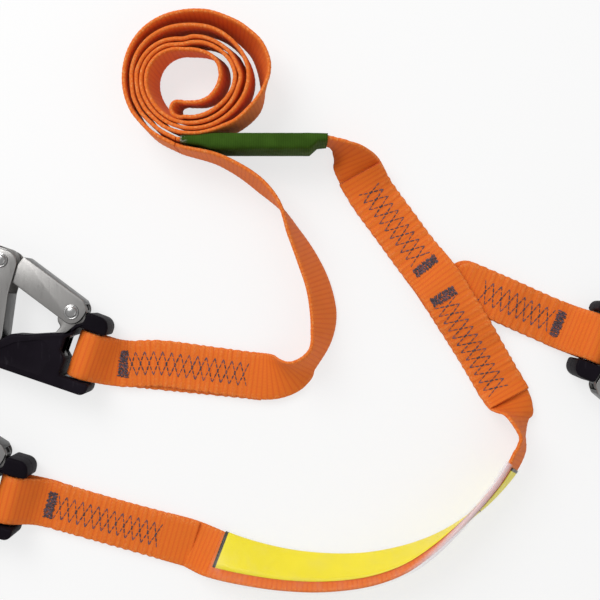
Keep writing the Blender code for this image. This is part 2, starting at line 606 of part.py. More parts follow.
def smooth_rows(rows, knots, parts):
    """Run a smooth curve through rows of numbers, each at its knot, with parts steps in each span."""
    last = len(rows) - 1
    slopes = []
    for index in range(last + 1):
        before = max(index - 1, 0)
        after = min(index + 1, last)
        run = knots[after] - knots[before]
        slopes.append([(b - a) / run for a, b in zip(rows[before], rows[after])])
    result = []
    for index in range(last):
        width = knots[index + 1] - knots[index]
        for part in range(parts[index]):
            t = part / parts[index]
            row = []
            for p, q, m, n in zip(rows[index], rows[index + 1], slopes[index], slopes[index + 1]):
                row.append((2 * t ** 3 - 3 * t ** 2 + 1) * p + (t ** 3 - 2 * t ** 2 + t) * width * m
                           + (3 * t ** 2 - 2 * t ** 3) * q + (t ** 3 - t ** 2) * width * n)
            result.append(tuple(row))
    result.append(tuple(rows[-1]))
    return result


def lean_stations(route, step=ROUTE_STEP):
    """Turn rows of x, y, z and lean into places and width directions."""
    knots = [0.0]
    parts = []
    for first, second in zip(route, route[1:]):
        span = (Vector(second[:3]) - Vector(first[:3])).length
        knots.append(knots[-1] + span)
        parts.append(max(1, round(span / step)))
    rows = smooth_rows(route, knots, parts)
    stations = []
    for index, (x, y, z, lean) in enumerate(rows):
        before = rows[max(index - 1, 0)]
        after = rows[min(index + 1, len(rows) - 1)]
        along = Vector((after[0] - before[0], after[1] - before[1], 0.0)).normalized()
        left = Vector((-along.y, along.x, 0.0))
        tilt = math.radians(lean)
        across = left * math.cos(tilt) + Vector((0.0, 0.0, 1.0)) * math.sin(tilt)
        resting = WEBBING_WIDTH / 2 * abs(math.sin(tilt)) + WEBBING_THICKNESS / 2 * abs(math.cos(tilt))
        stations.append((Vector((x, y, max(z, resting))), across))
    return stations


def hook_axes(hook):
    """Return the eye's plan place, the webbing's heading and the bar's direction."""
    x, y, heading = HOOK_PLACES[hook]
    along = Vector((math.cos(math.radians(heading)), math.sin(math.radians(heading)), 0.0))
    return Vector((x, y, 0.0)), along, Vector((-along.y, along.x, 0.0))


def eye_loop(hook, side=1.0, skew=0.0):
    """Stations round the eye bar, from the lower layer over to the upper one.

    skew is the slope at which the webbing drifts along the bar once it is clear
    of the fork.
    """
    profile = [(20.0, LAYER_1), (14.0, LAYER_1 + 0.1), (9.0, 1.8), (4.4, 2.7)]
    for degrees in EYE_LOOP_DEGREES:
        angle = math.radians(degrees)
        profile.append((LOOP_RADIUS * math.cos(angle), HOOK_MID_Z + LOOP_RADIUS * math.sin(angle)))
    profile += [(8.6, 9.3), (11.4, 6.4), (14.2, 4.5), (17.2, LAYER_2 + 0.2), (20.0, LAYER_2)]
    eye, along, across = hook_axes(hook)
    stations = []
    for u, z in profile:
        drift = max(0.0, u - SQUARE_RUN) * skew
        stations.append((eye + along * u + across * drift + Vector((0.0, 0.0, z)), across * side))
    return stations


def straight_run(start, end, heights, across, step=8.0):
    """Stations along a straight line in plan, with heights by distance."""
    first = Vector((start[0], start[1], 0.0))
    last = Vector((end[0], end[1], 0.0))
    length = (last - first).length
    marks = [length * index / round(length / step) for index in range(round(length / step) + 1)]
    marks += [mark for mark, _ in heights if 0.0 < mark < length and min(abs(mark - m) for m in marks) > 1.5]
    stations = []
    for mark in sorted(marks):
        stations.append((first.lerp(last, mark / length) + Vector((0.0, 0.0, height_at(heights, mark))), across))
    return stations


def height_at(heights, mark):
    """Read a height from rows of distance and height."""
    if mark <= heights[0][0]:
        return heights[0][1]
    for (a, low), (b, high) in zip(heights, heights[1:]):
        if mark <= b:
            return low + (high - low) * (mark - a) / (b - a)
    return heights[-1][1]


def ribbon_length(stations):
    """Length of the centre line through the stations."""
    return sum((b[0] - a[0]).length for a, b in zip(stations, stations[1:]))


def make_ribbon(name, stations, finish="orange_webbing", width=WEBBING_WIDTH, thickness=WEBBING_THICKNESS):
    """Extrude an edge through the stations, then thicken the strip."""
    bm = bmesh.new()
    centre, across = stations[0]
    left = bm.verts.new((centre + across * width / 2 - PLAN_CENTRE) * MM)
    right = bm.verts.new((centre - across * width / 2 - PLAN_CENTRE) * MM)
    edge = bm.edges.new((left, right))
    for centre, across in stations[1:]:
        grown = bmesh.ops.extrude_edge_only(bm, edges=[edge])["geom"]
        ends = [item for item in grown if isinstance(item, bmesh.types.BMVert)]
        edge = next(item for item in grown if isinstance(item, bmesh.types.BMEdge))
        new_left = min(ends, key=lambda vert: (vert.co - left.co).length)
        new_right = ends[0] if new_left is ends[1] else ends[1]
        left = new_left
        right = new_right
        left.co = (centre + across * width / 2 - PLAN_CENTRE) * MM
        right.co = (centre - across * width / 2 - PLAN_CENTRE) * MM
    bmesh.ops.recalc_face_normals(bm, faces=bm.faces)
    mesh = bpy.data.meshes.new(name)
    bm.to_mesh(mesh)
    bm.free()
    piece = place_piece(name, mesh, finish)
    solidify = piece.modifiers.new("thickness", "SOLIDIFY")
    solidify.thickness = thickness * MM
    solidify.offset = 0.0
    solidify.use_even_offset = True
    return piece


def lead_stations():
    """Long leg from its sewn end, round the eye of hook 1 and up to the roll."""
    loop = eye_loop("hook_1", skew=LEAD_SKEW)
    first, across = loop[0]
    tail = straight_run(LEAD_TAIL_END, first, [(0.0, LAYER_1)], across)[:-1]
    start = loop[-1][0]
    route = lean_stations([(start.x, start.y, LAYER_2, LEAD_START_LEAN), *LEAD_ROUTE])
    return tail + loop + route[1:]


def roll_strand(rows):
    """Stations of one strand of the roll, stepped by angle."""
    parts = [max(1, round((b[0] - a[0]) / ROLL_STEP_DEGREES)) for a, b in zip(rows, rows[1:])]
    stations = []
    for degrees, radius, shift_x, shift_y in smooth_rows(rows, [row[0] for row in rows], parts):
        angle = math.radians(degrees)
        upper = Vector((ROLL_CENTRE[0] + radius * math.cos(angle), ROLL_CENTRE[1] + radius * math.sin(angle), 0.0))
        shift = Vector((shift_x, shift_y, 0.0))
        rise = math.sqrt(WEBBING_WIDTH ** 2 - shift.length_squared)
        across = (Vector((0.0, 0.0, rise)) - shift).normalized()
        stations.append((upper + shift / 2 + Vector((0.0, 0.0, rise / 2 + ROLL_LIFT)), across))
    return stations


def roll_stations():
    """Doubled webbing wound from its bight: in along one strand, out along the other."""
    inner = roll_strand(INNER_STRAND)
    outer = roll_strand(OUTER_STRAND)
    turn_start = inner[0]
    turn_end = outer[0]
    middle = (turn_start[0] + turn_end[0]) / 2
    spread = (turn_end[0] - turn_start[0]) / 2
    sideways = (turn_start[0] - inner[1][0]).normalized() * spread.length
    bight = []
    for degrees in BIGHT_STATIONS:
        angle = math.radians(degrees)
        bight.append((middle - spread * math.cos(angle) + sideways * math.sin(angle), turn_start[1]))
    return list(reversed(inner)) + bight + outer


def least_gap(stations, neighbours=5):
    """Least clear distance between strands that are not next to each other."""
    least = 1e9
    for edge in (-0.5, 0.0, 0.5):
        points = [centre + across * WEBBING_WIDTH * edge for centre, across in stations]
        for i, first in enumerate(points):
            for j in range(i + neighbours, len(points) - 1):
                start = points[j]
                span = points[j + 1] - start
                t = max(0.0, min(1.0, (first - start).dot(span) / span.length_squared))
                least = min(least, (start + span * t - first).length)
    return least - WEBBING_THICKNESS


def fold_stations():
    """The stretch inside the cover: folded there and back before it goes on."""
    plan = list(FOLD_ROUTE_IN)
    turn = (FOLD_MIDDLE_Y - FOLD_FRONT_Y) / 2
    plan += [(FOLD_LEFT, FOLD_FRONT_Y), (-18.0, FOLD_FRONT_Y), (FOLD_RIGHT, FOLD_FRONT_Y)]
    for degrees in (-45, 0, 45):
        angle = math.radians(degrees)
        plan.append((FOLD_RIGHT + turn * math.cos(angle), FOLD_FRONT_Y + turn + turn * math.sin(angle)))
    plan += [(FOLD_RIGHT, FOLD_MIDDLE_Y), (-18.0, FOLD_MIDDLE_Y), (FOLD_LEFT, FOLD_MIDDLE_Y)]
    for degrees in (225, 180, 135):
        angle = math.radians(degrees)
        plan.append((FOLD_LEFT + turn * math.cos(angle), FOLD_MIDDLE_Y + turn + turn * math.sin(angle)))
    plan += [(FOLD_LEFT, FOLD_BACK_Y), (-18.0, FOLD_BACK_Y), *FOLD_ROUTE_OUT]
    return [(Vector((x, y, FOLD_Z)), Vector((0.0, 0.0, 1.0))) for x, y in plan]


def tail_lower_stations():
    """Long leg from the cover to hook 2, under the joint."""
    return lean_stations(TAIL_ROUTE)


def tail_upper_stations():
    """The sewn end of the long leg, on top of itself from hook 2."""
    loop = eye_loop("hook_2", side=-1.0)
    start, across = loop[-1]
    return straight_run(start, TAIL_END, [(0.0, LAYER_2)], across)


def tail_stations():
    """Long leg from the cover, over the joint, through the sleeve and round hook 2."""
    loop = eye_loop("hook_2", side=-1.0)
    return fold_stations() + tail_lower_stations() + loop + tail_upper_stations()[1:]


def branch_upper_stations():
    """Upper layer of the short leg, from the joint to hook 3."""
    end, across = eye_loop("hook_3")[-1]
    heights = [(mark, z + LAYER_STEP) for mark, z in BRANCH_HEIGHTS]
    run = straight_run(BRANCH_INNER_END, end, heights, across)
    start = run[0][0].lerp(run[1][0], BRANCH_UPPER_START / (run[1][0] - run[0][0]).length)
    return [(start, across), *run[1:]]


def branch_stations():
    """Short leg: from under the joint, round the eye of hook 3 and back."""
    loop = eye_loop("hook_3")
    start, across = loop[0]
    lower = straight_run(BRANCH_INNER_END, start, BRANCH_HEIGHTS, across)[:-1]
    upper = list(reversed(branch_upper_stations()))[1:]
    return lower + loop + upper


def mark_of(stations, place):
    """Distance along the stations to the point nearest a place in plan."""
    marks = marks_along(stations)
    best = None
    for index, (first, second) in enumerate(zip(stations, stations[1:])):
        start = first[0].xy
        span = second[0].xy - start
        t = max(0.0, min(1.0, (Vector(place) - start).dot(span) / max(span.length_squared, 1e-9)))
        miss = (start + span * t - Vector(place)).length
        if best is None or miss < best[0]:
            best = (miss, marks[index] + t * (marks[index + 1] - marks[index]))
    return best[1]


def marks_along(stations):
    """Running length at each station."""
    marks = [0.0]
    for first, second in zip(stations, stations[1:]):
        marks.append(marks[-1] + (second[0] - first[0]).length)
    return marks


def sample_at(stations, mark):
    """Centre, width direction and upward normal at a distance along the stations."""
    marks = marks_along(stations)
    index = 0
    while index < len(marks) - 2 and marks[index + 1] < mark:
        index += 1
    first, second = stations[index], stations[index + 1]
    t = (mark - marks[index]) / (marks[index + 1] - marks[index])
    across = first[1].lerp(second[1], t).normalized()
    normal = (second[0] - first[0]).cross(across).normalized()
    if normal.z < 0.0:
        normal = -normal
    return first[0].lerp(second[0], t), across, normal


def overlay_stations():
    """The strap over the joint, standing off the long leg and over the short one."""
    base = tail_lower_stations()
    joint = mark_of(base, JOINT_PLACE)
    stations = []
    low = OVERLAY_RISE[0][0]
    high = OVERLAY_RISE[-1][0]
    count = round((high - low) / ROUTE_STEP)
    marks = [low + (high - low) * index / count for index in range(count + 1)]
    for mark in marks:
        centre, across, normal = sample_at(base, joint + mark)
        distance = height_at([(a, b) for a, b, _ in OVERLAY_RISE], mark)
        lean = height_at([(a, c) for a, _, c in OVERLAY_RISE], mark)
        along = across.cross(normal)
        turned = Matrix.Rotation(math.radians(lean), 3, along) @ across
        stations.append((centre + normal * distance, turned))
    return stations


def station_normals(stations):
    """Centre, width direction and the face's normal at each station."""
    result = []
    for index, (centre, across) in enumerate(stations):
        before = stations[max(index - 1, 0)][0]
        after = stations[min(index + 1, len(stations) - 1)][0]
        result.append((centre, across, (after - before).cross(across).normalized()))
    return result


def offset_stations(stations, distance):
    """Move stations along the face's normal."""
    return [(centre + normal * distance, across) for centre, across, normal in station_normals(stations)]


def make_labels():
    """Printed strip on each face of the strap, in a clear flattened sleeve."""
    route = tail_lower_stations()
    places = [(centre.xy - Vector(LABEL_FIRST)).length for centre, _ in route]
    ends = [(centre.xy - Vector(LABEL_LAST)).length for centre, _ in route]
    stations = route[places.index(min(places)):ends.index(min(ends)) + 1]
    lift = WEBBING_THICKNESS / 2 + NODE_GAP + LABEL_THICKNESS / 2
    make_ribbon("label_front", offset_stations(stations, lift)[1:-1], "yellow_label", LABEL_WIDTH, LABEL_THICKNESS)
    make_ribbon("label_back", offset_stations(stations, -lift)[1:-1], "yellow_label", LABEL_WIDTH, LABEL_THICKNESS)
    half = SLEEVE_WIDTH / 2
    depth = SLEEVE_HALF_DEPTH
    section = [(half, 0.0), (half - 2.0, depth), (-half + 2.0, depth), (-half, 0.0),
               (-half + 2.0, -depth), (half - 2.0, -depth)]
    rings = []
    for centre, across, normal in station_normals(stations):
        rings.append([centre + across * a + normal * b for a, b in section])
    make_sleeve("clear_sleeve", rings, SLEEVE_WALL, "clear_film")


def make_sleeve(name, rings, wall, finish):
    """Extrude a closed section through rings and give it a wall inwards."""
    bm = bmesh.new()
    previous = [bm.verts.new((place - PLAN_CENTRE) * MM) for place in rings[0]]
    count = len(previous)
    edges = [bm.edges.new((previous[i], previous[(i + 1) % count])) for i in range(count)]
    for ring in rings[1:]:
        grown = bmesh.ops.extrude_edge_only(bm, edges=edges)["geom"]
        fresh = [item for item in grown if isinstance(item, bmesh.types.BMVert)]
        edges = [item for item in grown if isinstance(item, bmesh.types.BMEdge)]
        current = [min(fresh, key=lambda vert: (vert.co - old.co).length) for old in previous]
        for vert, place in zip(current, ring):
            vert.co = (place - PLAN_CENTRE) * MM
        previous = current
    bmesh.ops.recalc_face_normals(bm, faces=bm.faces)
    mesh = bpy.data.meshes.new(name)
    bm.to_mesh(mesh)
    bm.free()
    piece = place_piece(name, mesh, finish)
    solidify = piece.modifiers.new("wall", "SOLIDIFY")
    solidify.thickness = wall * MM
    solidify.offset = 0.0
    solidify.use_even_offset = True
    return piece


def make_cover():
    """Overload cover: a flattened tube round the folded stretch."""
    rings = []
    for x, y, half in COVER_SECTIONS:
        top = COVER_HEIGHT
        corner = COVER_CORNER
        section = [(half, corner), (half, top - corner), (half - corner, top), (corner - half, top),
                   (-half, top - corner), (-half, corner), (corner - half, 0.0), (half - corner, 0.0)]
        rings.append([Vector((x, y + across, z + COVER_WALL / 2)) for across, z in section])
    make_sleeve("overload_cover", rings, COVER_WALL, "green_cover")


def seam_points(stations, start, end, aside, legs):
    """One thread: a zigzag along the strap and its mirror image back over it."""
    base = WEBBING_THICKNESS / 2 + THREAD_LIFT
    points = []
    for index in range(legs + 1):
        centre, across, normal = sample_at(stations, start + (end - start) * index / legs)
        sign = 1 if index % 2 else -1
        points.append(centre + across * (aside + SEAM_HALF_WIDTH * sign) + normal * base)
    for index in range(legs - 1, -1, -1):
        centre, across, normal = sample_at(stations, start + (end - start) * (index + 0.1) / (legs + 0.1))
        sign = -1 if index % 2 else 1
        points.append(centre + across * (aside + SEAM_HALF_WIDTH * sign) + normal * (base + THREAD_CROSS))
    return [point - PLAN_CENTRE for point in points]


def tack_matrix(stations, mark, aside):
    """Place of a bar tack on the strap's face."""
    centre, across, normal = sample_at(stations, mark)
    along = across.cross(normal)
    centre = centre + across * aside + normal * (WEBBING_THICKNESS / 2) - PLAN_CENTRE
    matrix = Matrix((along, across, normal)).transposed().to_4x4()
    matrix.translation = centre * MM
    return matrix


def make_threads():
    """Zigzag seams and the dense bar tacks at their ends."""
    straps = {
        "lead": lead_stations(),
        "tail_upper": tail_upper_stations(),
        "branch_upper": branch_upper_stations(),
        "overlay": overlay_stations(),
    }
    for name, (strap, place, (low, high), aside, legs) in SEAMS.items():
        stations = straps[strap]
        mark = seam_mark(strap, stations, place)
        points = seam_points(stations, mark + low, mark + high, aside, legs)
        place_piece(name, tube_mesh(name, points, THREAD_RADIUS, 0), "dark_thread")
    for name, (strap, place, along, aside) in TACKS.items():
        stations = straps[strap]
        low = Vector((-TACK_WIDTH / 2, -TACK_LENGTH / 2, TACK_LIFT))
        high = Vector((TACK_WIDTH / 2, TACK_LENGTH / 2, TACK_LIFT + TACK_HEIGHT))
        piece = place_piece(name, box_mesh(name, low, high), "dark_thread")
        piece.matrix_world = tack_matrix(stations, seam_mark(strap, stations, place) + along, aside)
        bevel = piece.modifiers.new("round", "BEVEL")
        bevel.width = 0.3 * MM
        bevel.segments = 1


def seam_mark(strap, stations, place):
    """Distance along a strap to a place, on the upper layer where it is doubled."""
    if strap != "lead":
        return mark_of(stations, place)
    upper = stations[LEAD_UPPER_FROM:]
    return marks_along(stations)[LEAD_UPPER_FROM] + mark_of(upper, place)


def make_straps():
    """All webbing, each free stretch its own piece."""
    lead = lead_stations()
    roll = roll_stations()
    tail = tail_stations()
    branch = branch_stations()
    overlay = overlay_stations()
    make_ribbon("main_strap_lead", lead)
    make_ribbon("main_strap_roll", roll)
    make_ribbon("main_strap_tail", tail)
    make_ribbon("branch_strap", branch)
    make_ribbon("joint_overlay_strap", overlay)
    for name, stations in (("lead", lead), ("roll", roll), ("tail", tail), ("branch", branch), ("overlay", overlay)):
        print(f"{name} strap length {ribbon_length(stations):.0f} mm")
    print(f"roll least self-gap {least_gap(roll):.2f} mm")


clear_scene()
collection = new_collection(COLLECTION_NAME)
finishes = {name: make_finish(name) for name in FINISHES}
make_hooks()
make_straps()
make_cover()
make_labels()
make_threads()
for hook_name in HOOK_PLACES:
    matrix = hook_matrix(hook_name)
    eye = matrix @ Vector((0.0, 0.0, 0.0))
    lever_axis = matrix @ LEVER_PIVOT
    gate_axis = matrix @ GATE_PIVOT
    swing = matrix.to_3x3() @ Vector((0.0, 1.0, 0.0))
    print(hook_name, "eye", [round(v, 2) for v in eye], "swing axis", [round(v, 4) for v in swing],
          "lever", [round(v, 2) for v in lever_axis], "gate", [round(v, 2) for v in gate_axis])
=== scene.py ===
"""Looks of a three-hook safety tether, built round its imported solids.

Each strap is a flat woven strip, cut to its real length and laid along the
route of the solid it stands for.  The stitching, the label, the overload cover
and the pieces of the hooks are modelled the same way, on the places that the
frame gives.

Lengths in the routes and outlines are millimetres, turned into metres by MM
when a mesh is made.  Finished pieces sit at the origin.
"""

import json
import math
import random

import bmesh
import bpy
from bpy.props import FloatProperty, FloatVectorProperty, IntProperty, PointerProperty
from mathutils import Matrix, Vector, noise


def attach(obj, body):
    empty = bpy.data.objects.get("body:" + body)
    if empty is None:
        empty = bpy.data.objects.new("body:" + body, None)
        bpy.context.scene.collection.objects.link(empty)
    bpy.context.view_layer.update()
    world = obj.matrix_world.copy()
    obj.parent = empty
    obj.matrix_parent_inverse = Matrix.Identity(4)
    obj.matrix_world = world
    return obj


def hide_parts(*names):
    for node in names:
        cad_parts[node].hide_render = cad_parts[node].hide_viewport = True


bl_info = {
    "name": "Three-hook safety tether",
    "version": (1, 0, 0),
    "blender": (4, 5, 0),
    "location": "View3D > Sidebar > Tether",
    "description": "Builds the webbing, stitching, label and hooks of a three-hook safety tether",
    "category": "Add Mesh",
}

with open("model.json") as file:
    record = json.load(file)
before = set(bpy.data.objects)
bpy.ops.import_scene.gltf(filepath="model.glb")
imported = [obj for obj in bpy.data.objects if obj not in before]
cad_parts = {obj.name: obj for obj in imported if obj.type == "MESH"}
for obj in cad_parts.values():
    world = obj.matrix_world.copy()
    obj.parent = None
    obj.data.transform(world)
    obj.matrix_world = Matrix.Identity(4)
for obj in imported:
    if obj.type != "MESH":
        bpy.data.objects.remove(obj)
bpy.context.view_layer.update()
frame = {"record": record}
BODIES = frame["record"]["behaviour"]["bodies"]
BODY_OF = {node: body for body, nodes in BODIES.items() for node in nodes}

MM = 0.001
UP = Vector((0.0, 0.0, 1.0))

# Plan position of the middle of the whole object, which is the origin
PLAN_CENTRE = Vector((-0.61, -1.34, 0.0))

# Webbing
WIDTH = 25.0
THICKNESS = 1.9
LAYER_GAP = 0.5
LAYER_STEP = THICKNESS + LAYER_GAP
LAYER_1 = THICKNESS / 2
LAYER_2 = LAYER_1 + LAYER_STEP
ROUTE_STEP = 6.0
FACE_COLUMNS = 9
STATIONS_PER_RIB = 5
STRAIGHT_STEP = 8.0
RIM_WIDTH = 2.2
RIB_SHARPNESS = 0.7
RIB_NARROW = 0.010
SAG = 0.12

# Waves that the seams draw in the sewn layers, which show where the strap lies level
PUCKER_LEVEL = (0.7, 0.95)
PUCKER_FADE = 5.0
PUCKER_NARROW = 0.030
PUCKER_REACH = 15.0
PUCKER_MIDDLE = 0.35

# Hooks: plan position of the eye bar and heading of the webbing that leaves it
HOOK_PLACES = {
    "hook_1": (-111.4, -29.0, -18.9),
    "hook_2": (-151.5, -103.6, -14.5),
    "hook_3": (155.2, -20.2, 158.0),
}
HOOK_MID_Z = 9.5
EYE_BUSH_RADIUS = 5.0
LOOP_RADIUS = EYE_BUSH_RADIUS + 0.3 + THICKNESS / 2
SQUARE_RUN = 12.5
EYE_LOOP_DEGREES = (-85, -108, -133, -158, -183, -208, -233, -258, -283, -303, -320)
EYE_APPROACH = ((20.0, LAYER_1), (14.0, LAYER_1 + 0.1), (9.0, 1.8), (4.4, 2.7))
EYE_RETURN = ((8.6, 9.3), (11.4, 6.4), (14.2, 4.5), (17.2, LAYER_2 + 0.2), (20.0, LAYER_2))

# Route of the long leg from its sewn end at hook 1 up to the roll:
# x, y, z and lean of the width, 0 flat and 90 standing with its left edge up
LEAD_TAIL_END = (-19.5, -41.2)
LEAD_SKEW = 0.21
LEAD_UPPER_FROM = 24
LEAD_ROUTE = [
    (-74.3, -33.6, LAYER_2, 0.0), (-50.4, -36.6, LAYER_2, 0.0), (-27.1, -39.7, LAYER_2, 0.0),
    (-17.0, -40.6, 4.4, 6.0), (-7.5, -39.4, 7.7, 30.0), (1.6, -35.0, 12.0, 62.0),
    (8.4, -27.6, 12.6, 70.0), (11.4, -18.3, 11.9, 62.0), (12.3, -7.3, 11.6, 57.0),
    (9.4, 7.8, 11.8, 60.0), (3.1, 23.0, 12.2, 66.0), (-3.6, 36.0, 12.6, 76.0),
    (-10.4, 49.0, 12.7, 90.0), (-20.4, 59.4, 12.8, 99.0), (-31.7, 67.6, 12.8, 97.0),
    (-43.8, 73.7, 12.8, 94.0), (-55.4, 76.7, 12.8, 91.0), (-60.6, 78.0, 12.8, 90.0),
    (-63.1, 78.9, 12.8, 90.0),
]

# Roll: strand turns about its middle, first from the bight outwards.
# Each row is the angle in degrees, the radius of the upper edge, and how far
# the lower edge stands from it in x and y
ROLL_CENTRE = (-59.8, 114.5)
ROLL_STEP_DEGREES = 15
ROLL_LIFT = 0.3
BIGHT_DEGREES = (45, 90, 135)
INNER_STRAND = [
    (262, 14.1, 3.0, 3.0), (273, 14.1, 3.0, 3.0), (295, 15.4, 3.0, 3.0), (318, 17.4, 3.0, 3.0),
    (360, 19.1, 3.0, 3.0), (378, 18.9, 3.0, 3.0), (395, 17.3, 3.0, 3.0), (413, 15.0, 3.0, 3.0),
    (450, 12.9, 3.0, 3.0), (540, 18.3, 3.0, 3.0), (585, 20.8, 3.0, 3.0), (630, 24.2, 3.0, 3.0),
    (720, 29.2, 3.0, 3.0), (742, 26.8, 3.0, 3.0), (765, 23.7, 3.0, 3.0), (795, 20.0, 3.0, 3.0),
    (810, 18.3, 3.0, 3.0), (840, 19.6, 3.0, 3.0), (870, 21.5, 2.8, 2.8), (900, 23.5, 2.6, 2.6),
    (922, 24.5, 2.4, 2.4), (945, 25.9, 2.0, 2.0), (967, 27.6, 1.8, 1.8), (990, 29.4, 1.5, 1.5),
    (1017, 31.6, 0.8, 0.5), (1027, 32.8, 0.8, 0.0), (1040, 35.4, 1.0, -0.6), (1058, 38.7, 1.2, -0.8),
    (1070, 41.6, -1.0, 0.0), (1080, 43.9, -4.6, 0.0), (1090, 44.8, -6.4, -0.6), (1103, 43.6, -5.6, -2.2),
    (1116, 40.6, -3.6, -3.0), (1126, 38.4, -2.4, -2.8), (1145, 35.2, -1.4, -2.0),
    (1170, 32.2, -0.4, -1.0), (1215, 30.2, 0.8, 0.4), (1260, 29.8, 1.0, 1.0), (1300, 31.6, 0.4, 0.4),
    (1322, 33.0, 0.0, 0.0), (1344, 35.7, 0.0, 0.0),
]
OUTER_STRAND = [
    (264, 21.5, 3.0, 3.0), (270, 21.4, 3.0, 3.0), (315, 23.8, 3.0, 3.0), (360, 26.5, 3.0, 3.0),
    (405, 21.0, 3.0, 3.0), (450, 15.6, 3.0, 3.0), (480, 16.9, 3.0, 3.0), (540, 20.9, 3.0, 3.0),
    (585, 23.3, 2.8, 2.8), (630, 26.8, 2.6, 2.6), (675, 30.4, 2.0, 2.0), (720, 33.5, 1.6, 1.6),
    (765, 29.4, 1.6, 1.6), (810, 25.1, 1.4, 1.6), (900, 26.0, 1.6, 1.6), (922, 27.2, 1.3, 1.3),
    (945, 28.6, 1.0, 1.0), (967, 30.3, 0.2, 0.2), (984, 32.6, 0.0, 0.0),
]

# Overload cover and the strap folded inside it
COVER_SECTIONS = [
    (-60.5, 81.6, 1.5), (-52.0, 81.3, 2.0), (-46.0, 80.8, 3.4), (-42.0, 80.7, 3.7),
    (5.0, 80.7, 3.7), (9.0, 82.5, 1.85), (14.0, 82.7, 1.6),
]
COVER_HEIGHT = 26.6
COVER_WALL = 0.4
FOLD_ROUTE_IN = [(-62.8, 81.9), (-60.0, 81.6), (-52.0, 81.2), (-46.5, 80.0), (-41.5, 78.5)]
FOLD_LEFT = -37.0
FOLD_MIDDLE = -18.0
FOLD_RIGHT = 1.0
FOLD_FRONT_Y = 78.35
FOLD_MIDDLE_Y = 80.7
FOLD_BACK_Y = 83.05
FOLD_Z = 13.25
FOLD_ROUTE_OUT = [(4.0, 83.05), (9.0, 82.75)]

# Route of the long leg from the cover over the joint to hook 2
TAIL_ROUTE = [
    (14.0, 82.6, 13.2, 90.0), (17.4, 81.7, 13.0, 88.0), (21.4, 79.3, 12.4, 76.0),
    (26.3, 74.8, 10.6, 52.0), (30.9, 68.9, 6.2, 24.0), (38.0, 56.5, 1.5, 2.0),
    (44.6, 47.4, LAYER_1, 0.0), (51.2, 38.4, LAYER_1, 0.0), (62.9, 22.4, LAYER_1, 0.0),
    (71.5, 11.2, LAYER_1, 0.0), (82.4, -5.9, LAYER_1, 0.0), (94.6, -25.1, LAYER_1, 0.0),
    (105.4, -43.6, LAYER_1, 0.0), (110.6, -53.4, 5.5, -20.0), (114.0, -61.5, 11.4, -56.0),
    (115.6, -70.0, 13.2, -72.0), (114.3, -79.0, 13.4, -64.0), (110.9, -86.0, 13.8, -63.0),
    (104.2, -95.6, 14.0, -66.0), (94.0, -106.9, 14.2, -70.0), (80.8, -118.4, 14.6, -78.0),
    (67.7, -127.4, 14.8, -89.0), (52.1, -135.2, 14.8, -103.0), (33.9, -140.2, 14.0, -113.0),
    (13.0, -141.8, 13.3, -121.0), (-7.8, -140.6, 12.7, -128.0), (-28.8, -137.0, 11.6, -138.0),
    (-44.4, -133.2, 9.3, -152.0), (-53.6, -130.8, 4.4, -168.0), (-62.0, -128.4, 1.2, -179.0),
    (-74.7, -125.0, LAYER_1, -180.0), (-96.0, -119.3, LAYER_1, -180.0),
    (-117.4, -113.2, LAYER_1, -180.0),
]
TAIL_END = (-56.4, -129.9)

# Short leg, with the heights of its lower layer by distance from its inner end
BRANCH_INNER_END = (77.0, 13.0)
BRANCH_HEIGHTS = [
    (0.0, LAYER_2), (34.0, LAYER_2), (40.0, LAYER_2 - 0.7), (46.0, LAYER_1 + 0.5), (52.0, LAYER_1),
]
BRANCH_UPPER_START = 3.0
BRANCH_CORNER = 11.0

# Strap sewn over the joint: distance along the long leg from the joint, how far
# it stands off the leg below and how much more it leans over the short leg
OVERLAY_RISE = [
    (-70.0, 3.0, 0.0), (-56.0, 2.7, 0.0), (-44.0, LAYER_STEP, 0.0), (-22.0, LAYER_STEP, 0.0),
    (-14.0, 3.2, 4.0), (-6.0, 4.75, 8.0), (-2.5, 5.85, 8.0), (2.0, 7.05, 5.0), (8.4, 7.7, 2.0),
    (15.0, 7.6, 3.0), (22.5, 7.1, 7.0), (30.0, 5.9, 10.0), (36.0, 5.1, 11.0), (41.0, 4.0, 8.0),
    (47.0, 2.9, 3.0), (55.0, LAYER_STEP, 0.0), (62.0, 2.7, 0.0), (76.0, 2.8, 0.0),
]
JOINT_PLACE = (71.5, 11.2)

# Label on the long leg, between two places on its route
LABEL_FIRST = (110.9, -86.0)
LABEL_LAST = (-44.4, -133.2)

# Seams: strap, a place on it, the span along it from there, sideways offset and
# zigzag legs.  Bar tacks: strap, the same place, distance along and sideways offset
SEAMS = {
    "seam_hook_1": ("lead", (-91.4, -32.5), (0.0, 64.0), 0.0, 14),
    "seam_hook_2": ("tail_upper", (-132.1, -108.6), (3.0, 60.0), 0.0, 13),
    "seam_hook_3": ("branch_upper", (136.7, -12.7), (-45.0, -4.0), 0.0, 9),
    "seam_joint_upper": ("overlay", JOINT_PLACE, (-60.0, -13.0), 0.0, 10),
    "seam_joint_lower": ("overlay", JOINT_PLACE, (13.0, 69.0), -3.0, 12),
}
TACKS = {
    "tack_hook_1": ("lead", (-91.4, -32.5), -2.4, 0.0),
    "tack_hook_2": ("tail_upper", (-132.1, -108.6), 0.0, 0.0),
    "tack_hook_3": ("branch_upper", (136.7, -12.7), 0.0, 0.0),
    "tack_joint_upper": ("overlay", JOINT_PLACE, -8.6, 0.0),
    "tack_joint_lower": ("overlay", JOINT_PLACE, 10.0, -2.0),
}
SEAM_HALF_WIDTH = 6.4
TACK_LENGTH = 14.0

